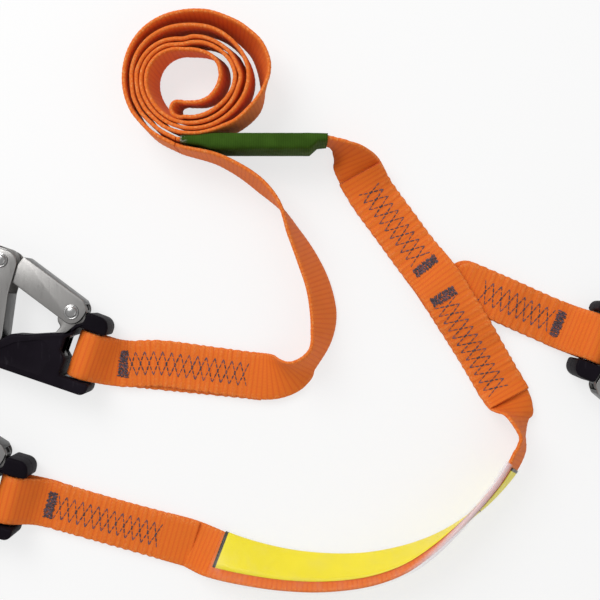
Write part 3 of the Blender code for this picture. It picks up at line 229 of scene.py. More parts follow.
# Pivots in the hook's own plan, measured from the eye bar
LEVER_PIVOT = Vector((-13.9, 19.3, 0.0))
GATE_PIVOT = Vector((-57.0, 33.0, 0.0))
BRACKET_PIN = Vector((-52.0, -13.4, 0.0))
FRAME_HALF = 4.0
CHANNEL_INSIDE = 5.0
CHANNEL_OUTSIDE = 6.2
BRACKET_INSIDE = 6.5
BRACKET_OUTSIDE = 7.7
POCKET_HALF = 8.0
GRIP_HALF = 9.5
RUNNING_GAP = 0.35
EYE_PIN_RADIUS = 2.3
EYE_PIN_HALF = 18.0
EYE_BORE = 2.6
EYE_BUSH_HALF = 13.0
RIVET_RADIUS = 2.0
RIVET_HOLE = 2.35
RIVET_HEAD_RADIUS = 3.9
RIVET_HEAD_HEIGHT = 1.2

# Outlines in the hook's own plan: x, y and the corner's radius
FRAME_OUTLINE = [
    (4.8, -18.2, 2.2), (4.8, -13.4, 1.5), (-9.9, -13.4, 1.2), (-9.9, -4.0, 1.0),
    (-12.2, -1.0, 1.2), (-12.2, 5.0, 1.2), (-9.9, 7.5, 1.0), (-9.9, 13.4, 1.2),
    (4.8, 13.4, 1.5), (4.8, 18.2, 2.2), (-6.0, 18.4, 1.2), (-7.3, 26.0, 6.0),
    (-20.6, 26.0, 6.2), (-20.6, 12.4, 5.0), (-17.4, 10.2, 1.5), (-20.5, 2.5, 5.0),
    (-38.0, -9.0, 12.0), (-128.5, -9.0, 19.0), (-128.5, 30.2, 16.0),
    (-104.8, 30.2, 3.0), (-104.8, 38.2, 4.0), (-138.0, 38.2, 23.0),
    (-138.0, -18.3, 25.0),
]
GRIP_OUTLINE = [
    (7.2, -19.8, 3.9), (7.2, -13.3, 1.6), (-8.8, -13.3, 1.2), (-8.8, -4.5, 1.9),
    (-12.4, -1.0, 1.2), (-12.4, 6.0, 1.2), (-8.8, 8.6, 1.9), (-8.8, 13.3, 2.4),
    (7.2, 13.3, 1.6), (7.2, 21.9, 5.5), (-5.0, 22.3, 1.8), (-6.2, 16.3, 2.0), (-9.6, 13.7, 2.0),
    (-12.8, 8.6, 3.0), (-19.5, 6.0, 5.0), (-31.7, 1.0, 12.0), (-39.0, -1.0, 4.0),
    (-44.5, -6.8, 4.0), (-76.0, -7.6, 3.0), (-80.0, -19.8, 5.0),
]
GRIP_PANEL = [
    (-18.0, -17.0, 3.0), (-15.5, -4.0, 4.0), (-22.0, 2.0, 5.0), (-36.0, -4.6, 4.0),
    (-42.0, -10.0, 3.0), (-73.0, -10.6, 1.2), (-75.6, -17.0, 1.4),
]
BRACKET_OUTLINE = [
    (-65.5, 38.5, 8.0), (-48.6, 39.2, 6.5), (-47.6, 18.0, 10.0), (-42.9, -6.0, 3.0),
    (-45.0, -16.6, 4.0), (-59.5, -16.6, 4.0), (-62.0, 8.0, 10.0), (-65.5, 24.0, 10.0),
]
BRACKET_HOLLOW = [
    (-90.0, 60.0, 0.0), (-25.0, 60.0, 0.0), (-25.0, 18.0, 0.0), (-48.8, 18.0, 0.0),
    (-44.1, -6.0, 0.0), (-25.0, -6.0, 0.0), (-25.0, -40.0, 0.0), (-90.0, -40.0, 0.0),
]
GATE_OUTLINE = [
    (-50.5, 26.6, 6.0), (-50.5, 39.4, 6.0), (-64.0, 39.4, 6.0), (-72.0, 37.6, 8.0),
    (-112.0, 37.6, 5.0), (-114.5, 24.0, 4.0), (-72.0, 25.0, 8.0), (-60.0, 26.6, 4.0),
]
GATE_HOLLOW = [
    (-130.0, 60.0, 0.0), (-103.4, 60.0, 0.0), (-103.4, 36.4, 0.0), (-70.0, 36.4, 0.0),
    (-63.0, 38.2, 0.0), (-61.0, 60.0, 0.0), (-30.0, 60.0, 0.0), (-30.0, 5.0, 0.0),
    (-130.0, 5.0, 0.0),
]
LATCH_BAR = Vector((-110.0, 26.6, 0.0))
LATCH_BAR_RADIUS = 2.0
LEVER_OUTLINE = [
    (-6.3, -6.2, 6.0), (-6.3, 5.5, 5.0), (-1.5, 8.4, 1.6), (37.0, 8.6, 1.6), (37.6, -6.0, 2.0),
]
LEVER_HOLLOW = [(-20.0, -20.0, 0.0), (60.0, -20.0, 0.0), (60.0, 7.4, 0.0), (-20.0, 7.3, 0.0)]
SPRING_WIRE_RADIUS = 0.4
SPRING_COIL_RADIUS = 3.1

# Torsion springs: first and last angle of the coil in degrees
LEVER_COIL = (-10.0, 792.0)
GATE_COIL = (-5.0, 1170.0)

# Camera straight above the middle of the plan
CAMERA_HEIGHT = 480.0
VIEW_WIDTH_ON_FLOOR = 320.9
SENSOR = 36.0

# Label and clear film
LABEL_GAP = 0.3
LABEL_THICKNESS = 0.3
LABEL_FACE = 18.6
LABEL_FACE_POINTS = 7
LABEL_STEP = 1.2
LABEL_BORDER_INSET = 0.85
LABEL_LINE_AT = 28.0
LINE_BLUR = 0.12
LINE_COLOUR = (0.025, 0.022, 0.018)
FILM_WIDTH = 27.5
FILM_HALF_DEPTH = 2.7
FILM_WALL = 0.3
FILM_POINTS = 28
FILM_HAZE = 0.012
FILM_EDGE = 0.42
FILM_LOOSE_TO = 84.0
FILM_LOOSE_FADE = 34.0
FILM_LOOSE = 3.0

# Weave and cut end of the cover
COVER_STEP = 1.0
COVER_ROUND = 66.0
COVER_SIDE_POINTS = 9
COVER_RIB_PITCH = 0.9
COVER_YARN_PITCH = 0.7
FRAY_COLOUR = (0.34, 0.33, 0.26)
SOOT_COLOUR = (0.010, 0.012, 0.010)

# Thread: the trim is a share of a stitch, the factors below it are shares of the radius
UNDER_THREAD_Z = 0.08
STITCH_JITTER = 0.28
STITCH_TRIM = 0.09
STITCH_LIFT = 0.45
STITCH_DEPTH = 0.85
UNDER_STITCH = 0.8
TACK_STITCH = 1.2
TACK_ROWS = 22
TACK_COLUMNS = 3
TACK_REACH = 4.8

# Small forms of the hooks
PANEL_DEPTH = 0.45
WIRE_SIDES = 8
ROD_SIDES = 32
TURNED_STEPS = 36
CUTTER_HALF = 20.0
EAR_SLOT = ((-24.0, 12.2, -1.9), (-7.0, 29.0, 1.9))
OTHER_HALF = ((-200.0, -100.0, -20.0), (100.0, 100.0, 0.15))
RIVET_GAP = 0.3
RIVET_RING = ((0.80, 0.28), (0.88, 0.42), (0.97, 0.34), (1.0, 0.14), (0.98, 0.0))

# Shading of the hooks: faces past BROAD_FACE, in square millimetres, stay flat
BROAD_FACE = 12.0
SHARP_DEGREES = 36.0
# Painted shade: factor of the steel colour on upright side faces, standing in for their darker reflection
PAINTED_SIDE_SHADE = 0.09
SCUFF_COLOUR = (0.05, 0.045, 0.055)

# Floor and lamps, in metres
FLOOR_SIZE = 5.0
KEY_PLACE = (-0.55, 0.65, 0.85)
KEY_SIZE = 0.7
FILL_PLACE = (0.75, -0.45, 0.95)
FILL_SIZE = 0.9


def length_setting(label, description, millimetres):
    """Setting that holds a length."""
    return FloatProperty(name=label, description=description, default=millimetres * MM,
                         unit="LENGTH", precision=5)


def colour_setting(label, description, *colour):
    """Setting that holds a colour."""
    return FloatVectorProperty(name=label, description=description, default=colour,
                               subtype="COLOR", min=0.0, max=1.0)


class TetherWebbing(bpy.types.PropertyGroup):
    """Weave and colours of the straps."""

    rib_pitch: length_setting("Rib pitch", "Distance between the cross ribs of the weave", 2.5)
    rib_depth: length_setting("Rib depth", "How far a rib stands above the valleys beside it", 0.13)
    yarn_pitch: length_setting("Yarn pitch", "Distance between the yarns that run along the strap", 0.8)
    pucker: length_setting("Pucker", "Height of the waves that the stitching draws in the strap", 0.36)
    crest_colour: colour_setting("Crest colour", "Colour of the raised yarns", 0.87, 0.182, 0.005)
    # Painted shade: the valley colour darkens the hollows between the ribs and yarns
    valley_shade_colour: colour_setting("Valley colour", "Colour between the ribs", 0.76, 0.108, 0.004)
    # Pale colour: rubbed yarn and painted highlight on the rims and pucker crests
    pale_colour: colour_setting("Pale colour", "Colour of rubbed yarns on rims and creases", 0.93, 0.42, 0.13)


class TetherSewing(bpy.types.PropertyGroup):
    """Thread of the seams and bar tacks."""

    thread_radius: length_setting("Thread radius", "Radius of the sewing thread", 0.32)
    stitches_per_leg: IntProperty(name="Stitches per leg", description="Stitches in each leg of the zigzag",
                                  default=5, min=1)
    dark_colour: colour_setting("Dark thread", "Main colour of the thread", 0.034, 0.030, 0.040)
    light_colour: colour_setting("Worn thread", "Colour of the thread where it is rubbed", 0.19, 0.095, 0.125)


class TetherTrim(bpy.types.PropertyGroup):
    """Cover, label and clear film."""

    cover_colour: colour_setting("Cover", "Colour of the overload cover", 0.040, 0.092, 0.010)
    label_colour: colour_setting("Label", "Colour of the label strip", 0.98, 0.84, 0.008)
    film_colour: colour_setting("Film", "Colour of the clear film over the label", 0.90, 0.84, 0.90)
    label_border: length_setting("Label border", "Width of the dark line at each end of the label", 1.7)


class TetherHooks(bpy.types.PropertyGroup):
    """Steel and plastic of the hooks."""

    steel_colour: colour_setting("Steel", "Colour of the stamped steel", 0.40, 0.39, 0.38)
    bright_colour: colour_setting("Bright steel", "Colour of the pins, rivets and springs", 0.46, 0.455, 0.45)
    grip_colour: colour_setting("Grip", "Colour of the moulded grip", 0.0065, 0.0050, 0.0075)
    grip_edge: length_setting("Grip edge", "Radius of the grip's outer edges", 1.5)


class TetherStage(bpy.types.PropertyGroup):
    """Camera, lamps and floor."""

    key_power: FloatProperty(name="Key", description="Power of the large lamp", default=8.0, unit="POWER")
    fill_power: FloatProperty(name="Fill", description="Power of the small lamp", default=1.2, unit="POWER")
    sky_level: FloatProperty(name="Sky", description="Brightness of the surroundings", default=0.50)
    floor_level: FloatProperty(name="Floor", description="Whiteness of the floor", default=0.98, max=1.0)
    white_level: FloatProperty(name="White", description="Brightness of plain white", default=0.985)
    white_share: FloatProperty(name="White share", description="How much of the floor shows as plain white",
                               default=0.72, min=0.0, max=1.0)
    floor_drop: length_setting("Floor drop", "Gap between the floor and the lowest webbing", 0.25)


def smooth_step(low, high, value):
    """Rise smoothly from 0 at low to 1 at high."""
    t = max(0.0, min(1.0, (value - low) / (high - low)))
    return t * t * (3.0 - 2.0 * t)


def blend_rows(first, second, slope, next_slope, width, t):
    """Smooth curve between two rows of numbers, t from 0 to 1."""
    row = []
    for p, q, m, n in zip(first, second, slope, next_slope):
        row.append((2 * t ** 3 - 3 * t ** 2 + 1) * p + (t ** 3 - 2 * t ** 2 + t) * width * m
                   + (3 * t ** 2 - 2 * t ** 3) * q + (t ** 3 - t ** 2) * width * n)
    return row


def row_slopes(rows, knots):
    """Slope of each number at each row."""
    last = len(rows) - 1
    slopes = []
    for index in range(last + 1):
        before = max(index - 1, 0)
        after = min(index + 1, last)
        run = knots[after] - knots[before]
        slopes.append([(b - a) / run for a, b in zip(rows[before], rows[after])])
    return slopes


def smooth_rows(rows, knots, parts):
    """Run a smooth curve through rows of numbers, with parts steps in each span."""
    slopes = row_slopes(rows, knots)
    result = []
    for index in range(len(rows) - 1):
        width = knots[index + 1] - knots[index]
        for part in range(parts[index]):
            result.append(blend_rows(rows[index], rows[index + 1], slopes[index], slopes[index + 1],
                                     width, part / parts[index]))
    result.append(list(rows[-1]))
    return result


def lean_stations(route):
    """Turn rows of x, y, z and lean into places and width directions."""
    knots = [0.0]
    parts = []
    for first, second in zip(route, route[1:]):
        span = (Vector(second[:3]) - Vector(first[:3])).length
        knots.append(knots[-1] + span)
        parts.append(max(1, round(span / ROUTE_STEP)))
    rows = smooth_rows(route, knots, parts)
    stations = []
    for index, (x, y, z, lean) in enumerate(rows):
        before = rows[max(index - 1, 0)]
        after = rows[min(index + 1, len(rows) - 1)]
        along = Vector((after[0] - before[0], after[1] - before[1], 0.0)).normalized()
        tilt = math.radians(lean)
        across = UP.cross(along) * math.cos(tilt) + UP * math.sin(tilt)
        resting = WIDTH / 2 * abs(math.sin(tilt)) + THICKNESS / 2 * abs(math.cos(tilt))
        stations.append((Vector((x, y, max(z, resting))), across))
    return stations


def eye_loop(hook, side=1.0, skew=0.0):
    """Stations round the eye bar, from the lower layer over to the upper one."""
    profile = list(EYE_APPROACH)
    for degrees in EYE_LOOP_DEGREES:
        angle = math.radians(degrees)
        profile.append((LOOP_RADIUS * math.cos(angle), HOOK_MID_Z + LOOP_RADIUS * math.sin(angle)))
    x, y, heading = HOOK_PLACES[hook]
    along = Vector((math.cos(math.radians(heading)), math.sin(math.radians(heading)), 0.0))
    across = UP.cross(along)
    stations = []
    for u, z in (*profile, *EYE_RETURN):
        drift = max(0.0, u - SQUARE_RUN) * skew
        stations.append((Vector((x, y, z)) + along * u + across * drift, across * side))
    return stations


def height_at(heights, mark):
    """Read a height from rows of distance and height."""
    if mark <= heights[0][0]:
        return heights[0][1]
    for (a, low), (b, high) in zip(heights, heights[1:]):
        if mark <= b:
            return low + (high - low) * (mark - a) / (b - a)
    return heights[-1][1]


def straight_run(start, end, heights, across):
    """Stations along a straight line in plan, with heights by distance."""
    first = Vector((start[0], start[1], 0.0))
    last = Vector((end[0], end[1], 0.0))
    length = (last - first).length
    count = round(length / STRAIGHT_STEP)
    marks = [length * index / count for index in range(count + 1)]
    marks += [mark for mark, _ in heights if 0.0 < mark < length and min(abs(mark - m) for m in marks) > 1.5]
    marks.sort()
    return [(first.lerp(last, mark / length) + UP * height_at(heights, mark), across) for mark in marks]


def lead_stations():
    """Long leg from its sewn end, round the eye of hook 1 and up to the roll."""
    loop = eye_loop("hook_1", skew=LEAD_SKEW)
    first, across = loop[0]
    tail = straight_run(LEAD_TAIL_END, first, [(0.0, LAYER_1)], across)[:-1]
    start = loop[-1][0]
    return tail + loop + lean_stations([(start.x, start.y, LAYER_2, 0.0), *LEAD_ROUTE])[1:]


def roll_strand(rows):
    """Stations of one strand of the roll, stepped by angle."""
    parts = [max(1, round((b[0] - a[0]) / ROLL_STEP_DEGREES)) for a, b in zip(rows, rows[1:])]
    stations = []
    for degrees, radius, shift_x, shift_y in smooth_rows(rows, [row[0] for row in rows], parts):
        angle = math.radians(degrees)
        x = ROLL_CENTRE[0] + radius * math.cos(angle)
        y = ROLL_CENTRE[1] + radius * math.sin(angle)
        shift = Vector((shift_x, shift_y, 0.0))
        rise = math.sqrt(WIDTH ** 2 - shift.length_squared)
        middle = Vector((x, y, 0.0)) + shift / 2 + UP * (rise / 2 + ROLL_LIFT)
        stations.append((middle, (UP * rise - shift).normalized()))
    return stations


def roll_stations():
    """Doubled webbing wound from its bight: in along one strand, out along the other."""
    inner = roll_strand(INNER_STRAND)
    outer = roll_strand(OUTER_STRAND)
    start, across = inner[0]
    middle = (start + outer[0][0]) / 2
    spread = (outer[0][0] - start) / 2
    sideways = (start - inner[1][0]).normalized() * spread.length
    bight = []
    for degrees in BIGHT_DEGREES:
        angle = math.radians(degrees)
        bight.append((middle - spread * math.cos(angle) + sideways * math.sin(angle), across))
    return list(reversed(inner)) + bight + outer


def fold_turn(x, low, quarter):
    """Three points round one fold, from its lower strand at y = low, or back round its left side."""
    radius = (FOLD_MIDDLE_Y - FOLD_FRONT_Y) / 2
    turns = (-45, 0, 45) if quarter > 0 else (225, 180, 135)
    angles = [math.radians(degrees) for degrees in turns]
    return [(x + radius * math.cos(angle), low + radius + radius * math.sin(angle)) for angle in angles]


def fold_stations():
    """The stretch inside the cover: folded there and back before it goes on."""
    plan = [*FOLD_ROUTE_IN]
    plan += [(x, FOLD_FRONT_Y) for x in (FOLD_LEFT, FOLD_MIDDLE, FOLD_RIGHT)]
    plan += fold_turn(FOLD_RIGHT, FOLD_FRONT_Y, 1)
    plan += [(x, FOLD_MIDDLE_Y) for x in (FOLD_RIGHT, FOLD_MIDDLE, FOLD_LEFT)]
    plan += fold_turn(FOLD_LEFT, FOLD_MIDDLE_Y, -1)
    plan += [(x, FOLD_BACK_Y) for x in (FOLD_LEFT, FOLD_MIDDLE)]
    return [(Vector((x, y, FOLD_Z)), UP.copy()) for x, y in (*plan, *FOLD_ROUTE_OUT)]


def tail_upper_stations():
    """The sewn end of the long leg, on top of itself from hook 2."""
    start, across = eye_loop("hook_2", side=-1.0)[-1]
    return straight_run(start, TAIL_END, [(0.0, LAYER_2)], across)


def tail_stations():
    """Long leg from the cover, over the joint, under the label and round hook 2."""
    loop = eye_loop("hook_2", side=-1.0)
    return fold_stations() + lean_stations(TAIL_ROUTE) + loop + tail_upper_stations()[1:]


def branch_upper_stations():
    """Upper layer of the short leg, from the joint to hook 3."""
    end, across = eye_loop("hook_3")[-1]
    heights = [(mark, z + LAYER_STEP) for mark, z in BRANCH_HEIGHTS]
    run = straight_run(BRANCH_INNER_END, end, heights, across)
    start = run[0][0].lerp(run[1][0], BRANCH_UPPER_START / (run[1][0] - run[0][0]).length)
    return [(start, across), *run[1:]]


def branch_stations():
    """Short leg: from under the joint, round the eye of hook 3 and back."""
    loop = eye_loop("hook_3")
    start, across = loop[0]
    lower = straight_run(BRANCH_INNER_END, start, BRANCH_HEIGHTS, across)[:-1]
    return lower + loop + list(reversed(branch_upper_stations()))[1:]


def marks_along(stations):
    """Running length at each station."""
    marks = [0.0]
    for first, second in zip(stations, stations[1:]):
        marks.append(marks[-1] + (second[0] - first[0]).length)
    return marks


def mark_of(stations, place):
    """Distance along the stations to the point nearest a place in plan."""
    marks = marks_along(stations)
    best = None
    for index, (first, second) in enumerate(zip(stations, stations[1:])):
        start = first[0].xy
        span = second[0].xy - start
        t = max(0.0, min(1.0, (Vector(place) - start).dot(span) / max(span.length_squared, 1e-9)))
        miss = (start + span * t - Vector(place)).length
        if best is None or miss < best[0]:
            best = (miss, marks[index] + t * (marks[index + 1] - marks[index]))
    return best[1]


def sample_at(stations, mark):
    """Centre, width direction and upward normal at a distance along the stations."""
    marks = marks_along(stations)
    index = 0
    while index < len(marks) - 2 and marks[index + 1] < mark:
        index += 1
    first, second = stations[index], stations[index + 1]
    t = (mark - marks[index]) / (marks[index + 1] - marks[index])
    across = first[1].lerp(second[1], t).normalized()
    normal = (second[0] - first[0]).cross(across).normalized()
    if normal.z < 0.0:
        normal = -normal
    return first[0].lerp(second[0], t), across, normal


def overlay_stations():
    """The strap over the joint, standing off the long leg and over the short one."""
    base = lean_stations(TAIL_ROUTE)
    joint = mark_of(base, JOINT_PLACE)
    low = OVERLAY_RISE[0][0]
    high = OVERLAY_RISE[-1][0]
    count = round((high - low) / ROUTE_STEP)
    stations = []
    for index in range(count + 1):
        mark = low + (high - low) * index / count
        centre, across, normal = sample_at(base, joint + mark)
        distance = height_at([(a, b) for a, b, _ in OVERLAY_RISE], mark)
        lean = height_at([(a, c) for a, _, c in OVERLAY_RISE], mark)
        tilted = Matrix.Rotation(math.radians(lean), 3, across.cross(normal)) @ across
        stations.append((centre + normal * distance, tilted))
    return stations


def laid_places(stations, step):
    """Places every step along a smooth curve through the stations: mark, centre, across and normal."""
    rows = [(*centre, *across) for centre, across in stations]
    knots = marks_along(stations)
    slopes = row_slopes(rows, knots)
    count = round(knots[-1] / step)
    laid = []
    index = 0
    for number in range(count + 1):
        mark = knots[-1] * number / count
        while index < len(knots) - 2 and knots[index + 1] < mark:
            index += 1
        width = knots[index + 1] - knots[index]
        row = blend_rows(rows[index], rows[index + 1], slopes[index], slopes[index + 1],
                         width, (mark - knots[index]) / width)
        laid.append((mark, Vector(row[:3]), Vector(row[3:]).normalized()))
    places = []
    for number, (mark, centre, across) in enumerate(laid):
        run = laid[min(number + 1, count)][1] - laid[max(number - 1, 0)][1]
        normal = run.cross(across).normalized()
        places.append((mark, centre, normal.cross(run).normalized(), normal))
    return places


def sewn_straps():
    """Upper layers that carry the seams."""
    return {
        "lead": lead_stations()[LEAD_UPPER_FROM:],
        "tail_upper": tail_upper_stations(),
        "branch_upper": branch_upper_stations(),
        "overlay": overlay_stations(),
    }


def seam_lines():
    """Plan start and end of each seam on its strap, and how many legs it has."""
    straps = sewn_straps()
    lines = []
    for strap, place, span, _, legs in SEAMS.values():
        stations = straps[strap]
        mark = mark_of(stations, place)
        start, end = (sample_at(stations, mark + reach)[0].xy for reach in span)
        lines.append((start, end, legs))
    return lines


SEAM_LINES = seam_lines()


def pucker_at(place):
    """Wave of the sewn layers at a place in plan, and how strongly it shows: each from 0 to 1."""
    wave = 0.0
    strength = 0.0
    for start, end, legs in SEAM_LINES:
        span = end - start
        along = (place.xy - start).dot(span.normalized())
        aside = (place.xy - start - span.normalized() * along).length
        if aside > PUCKER_REACH:
            continue
        amount = smooth_step(-PUCKER_FADE, 0.0, along) * smooth_step(-PUCKER_FADE, 0.0, span.length - along)
        if amount > strength:
            drift = 0.5 * noise.noise(Vector((along * 0.11, aside * 0.05, span.length)))
            wave = 0.5 - 0.5 * math.cos(2 * math.pi * (along * legs / span.length + drift))
            strength = amount
    return wave, strength


def pucker_height(wave, strength, aside):
    """How far the sewn layers rise at a distance from the middle of the strap, in millimetres."""
    settings = bpy.context.scene.tether_webbing
    edge = (2 * aside / WIDTH) ** 2
    return settings.pucker / MM * wave * strength * (PUCKER_MIDDLE + (1.0 - PUCKER_MIDDLE) * edge)


def strap_ring():
    """Points round a strap's section: across, through and rim, 1 on the edges and 0 on the faces."""
    depth = THICKNESS / 2
    flat = WIDTH / 2 - depth
    faces = [flat * (1 - 2 * index / (FACE_COLUMNS - 1)) for index in range(FACE_COLUMNS)]
    turns = [math.radians(degrees) for degrees in (45, 0, -45)]
    ring = []
    for side in (1, -1):
        for a in faces:
            ring.append((side * a, side * depth, smooth_step(WIDTH / 2 - RIM_WIDTH, WIDTH / 2, abs(a))))
        for turn in turns:
            ring.append((-side * (flat + depth * math.cos(turn)), side * depth * math.sin(turn), 1.0))
    return ring


def wrapped_grid(ring_count, row_count, place_of, uv_of, marks_of=None):
    """Wrap a flat grid into a tube.  Each function takes the column and the row.

    place_of gives the place, uv_of the distance round and along, and marks_of how
    near a rim the place is and how creased it is.
    """
    bm = bmesh.new()
    weave = bm.loops.layers.uv.new("weave")
    rim = bm.verts.layers.float.new("rim")
    crease = bm.verts.layers.float.new("crease")
    bmesh.ops.create_grid(bm, x_segments=ring_count, y_segments=row_count - 1, size=0.5)
    bm.verts.index_update()
    for face in bm.faces:
        for loop in face.loops:
            row, column = divmod(loop.vert.index, ring_count + 1)
            loop[weave].uv = uv_of(column, row)
    for vert in bm.verts:
        row, column = divmod(vert.index, ring_count + 1)
        vert.co = place_of(column % ring_count, row)
        if marks_of:
            vert[rim], vert[crease] = marks_of(column % ring_count, row)
    bmesh.ops.remove_doubles(bm, verts=bm.verts, dist=0.001 * MM)
    return bm


def close_ends(bm):
    """Fill the open ends of a tube and turn its faces outwards."""
    bmesh.ops.holes_fill(bm, edges=[edge for edge in bm.edges if edge.is_boundary], sides=0)
    bmesh.ops.recalc_face_normals(bm, faces=bm.faces)


def woven_strap(stations, corner):
    """Closed woven strip along the stations, with cross ribs, waves under the seams and soft rims.

    corner is the radius that its cut ends are rounded to.
    """
    settings = bpy.context.scene.tether_webbing
    pitch = settings.rib_pitch / MM
    depth = settings.rib_depth / MM
    places = laid_places(stations, pitch / STATIONS_PER_RIB)
    ring = strap_ring()
    rounds = [0.0]
    for first, second in zip(ring, ring[1:] + ring[:1]):
        rounds.append(rounds[-1] + math.hypot(second[0] - first[0], second[1] - first[1]))
    waves = [pucker_at(centre) for _, centre, _, _ in places]
    full = places[-1][0]

    def trim_at(mark):
        if corner <= 0.0:
            return 1.0
        near = max(0.0, 1.0 - min(mark, full - mark) / corner)
        return 1.0 - (1.0 - math.sqrt(1.0 - near ** 2)) * 2 * corner / WIDTH

    def place_of(column, row):
        mark, centre, across, normal = places[row]
        a, b, rim = ring[column]
        rib = abs(math.sin(math.pi * mark / pitch)) ** RIB_SHARPNESS
        wave, strength = waves[row]
        strength *= smooth_step(*PUCKER_LEVEL, abs(normal.z))
        lift = pucker_height(wave, strength, a)
        sag = SAG * (1.0 - strength) * noise.noise(Vector((mark * 0.05, a * 0.08, THICKNESS)))
        through = math.copysign(depth * (rib - 1.0), b) if b else 0.0
        narrow = 1.0 - rim * (RIB_NARROW * (1.0 - rib) + PUCKER_NARROW * strength * (1.0 - wave))
        spot = centre + across * (a * narrow * trim_at(mark)) + normal * (b + through + sag) + UP * lift
        return (spot - PLAN_CENTRE) * MM

    def marks_of(column, row):
        wave, strength = waves[row]
        return ring[column][2], strength * wave ** 3 * abs(2 * ring[column][0] / WIDTH) ** 2

    bm = wrapped_grid(len(ring), len(places), place_of,
                      lambda column, row: (rounds[column] * MM, places[row][0] * MM), marks_of)
    close_ends(bm)
    return bm, full


def mesh_from(bm, name, smooth=False):
    """Turn a bmesh into a mesh."""
    mesh = bpy.data.meshes.new(name)
    bm.to_mesh(mesh)
    bm.free()
    if smooth:
        mesh.shade_smooth()
    return mesh


def linked(name, data):
    """New object in the scene that shows the data."""
    item = bpy.data.objects.new(name, data)
    bpy.context.scene.collection.objects.link(item)
    return item


def finished_piece(name, mesh, slot, material, *nodes):
    """Link a finished mesh as a piece that stands for nodes of the frame."""
    mesh.name = name
    mesh.materials.clear()
    mesh.materials.append(material)
    piece = linked(name, mesh)
    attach(piece, BODY_OF[nodes[0]])
    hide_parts(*nodes)
    return piece


def scaled(colour, factor):
    """Darker or lighter shade of a colour."""
    return tuple(factor * value for value in colour)


class Look:
    """A material while it is built.  Most methods add a node and return what it gives."""

    def __init__(self, name):
        self.material = bpy.data.materials.new(name)
        self.material.use_nodes = True
        self.tree = self.material.node_tree
        self.shader = self.tree.nodes["Principled BSDF"]

    def feed(self, socket, value):
        """Link a socket to another node, or set its value."""
        if isinstance(value, bpy.types.NodeSocket):
            self.tree.links.new(value, socket)
        else:
            socket.default_value = value

    def node(self, kind, *values, **settings):
        """New node, with values for its first inputs."""
        node = self.tree.nodes.new("ShaderNode" + kind)
        for name, value in settings.items():
            setattr(node, name, value)
        for socket, value in zip(node.inputs, values):
            self.feed(socket, value)
        return node

    def calculate(self, operation, first, second=0.0):
        """Result of a sum on one or two values."""
        return self.node("Math", first, second, operation=operation).outputs[0]

    def total(self, first, second):
        """Sum of two values."""
        return self.calculate("ADD", first, second)

    def product(self, first, second):
        """Product of two values."""
        return self.calculate("MULTIPLY", first, second)

    def highest(self, first, second):
        """Higher of two values."""
        return self.calculate("MAXIMUM", first, second)

    def ranged(self, value, low, high, to_low=0.0, to_high=1.0):
        """Value moved from one range to another and held inside it."""
        return self.node("MapRange", value, low, high, to_low, to_high).outputs[0]

    def mixed(self, factor, first, second):
        """Blend of two colours, each from another node or as three numbers."""
        node = self.node("Mix", factor, data_type="RGBA")
        for socket, colour in ((node.inputs[6], first), (node.inputs[7], second)):
            self.feed(socket, colour if isinstance(colour, bpy.types.NodeSocket) else (*colour, 1.0))
        return node.outputs[2]

    def speckle(self, scale, detail=2.0, stretch=(1.0, 1.0, 1.0)):
        """Noise in the piece's own axes, scale in features per metre."""
        mapping = self.node("Mapping", self.node("TexCoord").outputs["Object"])
        mapping.inputs["Scale"].default_value = stretch
        texture = self.node("TexNoise", mapping.outputs["Vector"])
        texture.inputs["Scale"].default_value = scale
        texture.inputs["Detail"].default_value = detail
        return texture.outputs[0]

    def stored(self, name):
        """Value stored on the mesh under a name."""
        return self.node("Attribute", attribute_name=name).outputs["Fac"]

    def weave_axes(self):
        """Distance round the section and along the strip, in metres."""
        layer = self.node("UVMap", uv_map="weave")
        return self.node("SeparateXYZ", layer.outputs["UV"]).outputs[:2]

    def plain_weave(self, rib_pitch, yarn_pitch):
        """Rib and yarn heights of a weave whose yarns cross over at each rib."""
        u, v = self.weave_axes()
        row = self.calculate("DIVIDE", v, rib_pitch)
        rib = self.calculate("ABSOLUTE", self.calculate("SINE", self.product(row, math.pi)))
        shift = self.product(self.calculate("FLOOR", row), math.pi)
        turn = self.total(self.product(u, 2 * math.pi / yarn_pitch), shift)
        return rib, self.ranged(self.calculate("SINE", turn), -1.0, 1.0)

    def dress(self, **inputs):
        """Set or link inputs of the shader, named with low lines for spaces."""
        for name, value in inputs.items():
            self.feed(self.shader.inputs[name.replace("_", " ")], value)

    def finish(self, height, depth, **inputs):
        """Dress the shader, add a bump of the given depth in millimetres and return the material."""
        bump = self.node("Bump")
        self.feed(bump.inputs["Height"], height)
        self.feed(bump.inputs["Distance"], depth * MM)
        self.dress(Normal=bump.outputs["Normal"], **inputs)
        return self.material


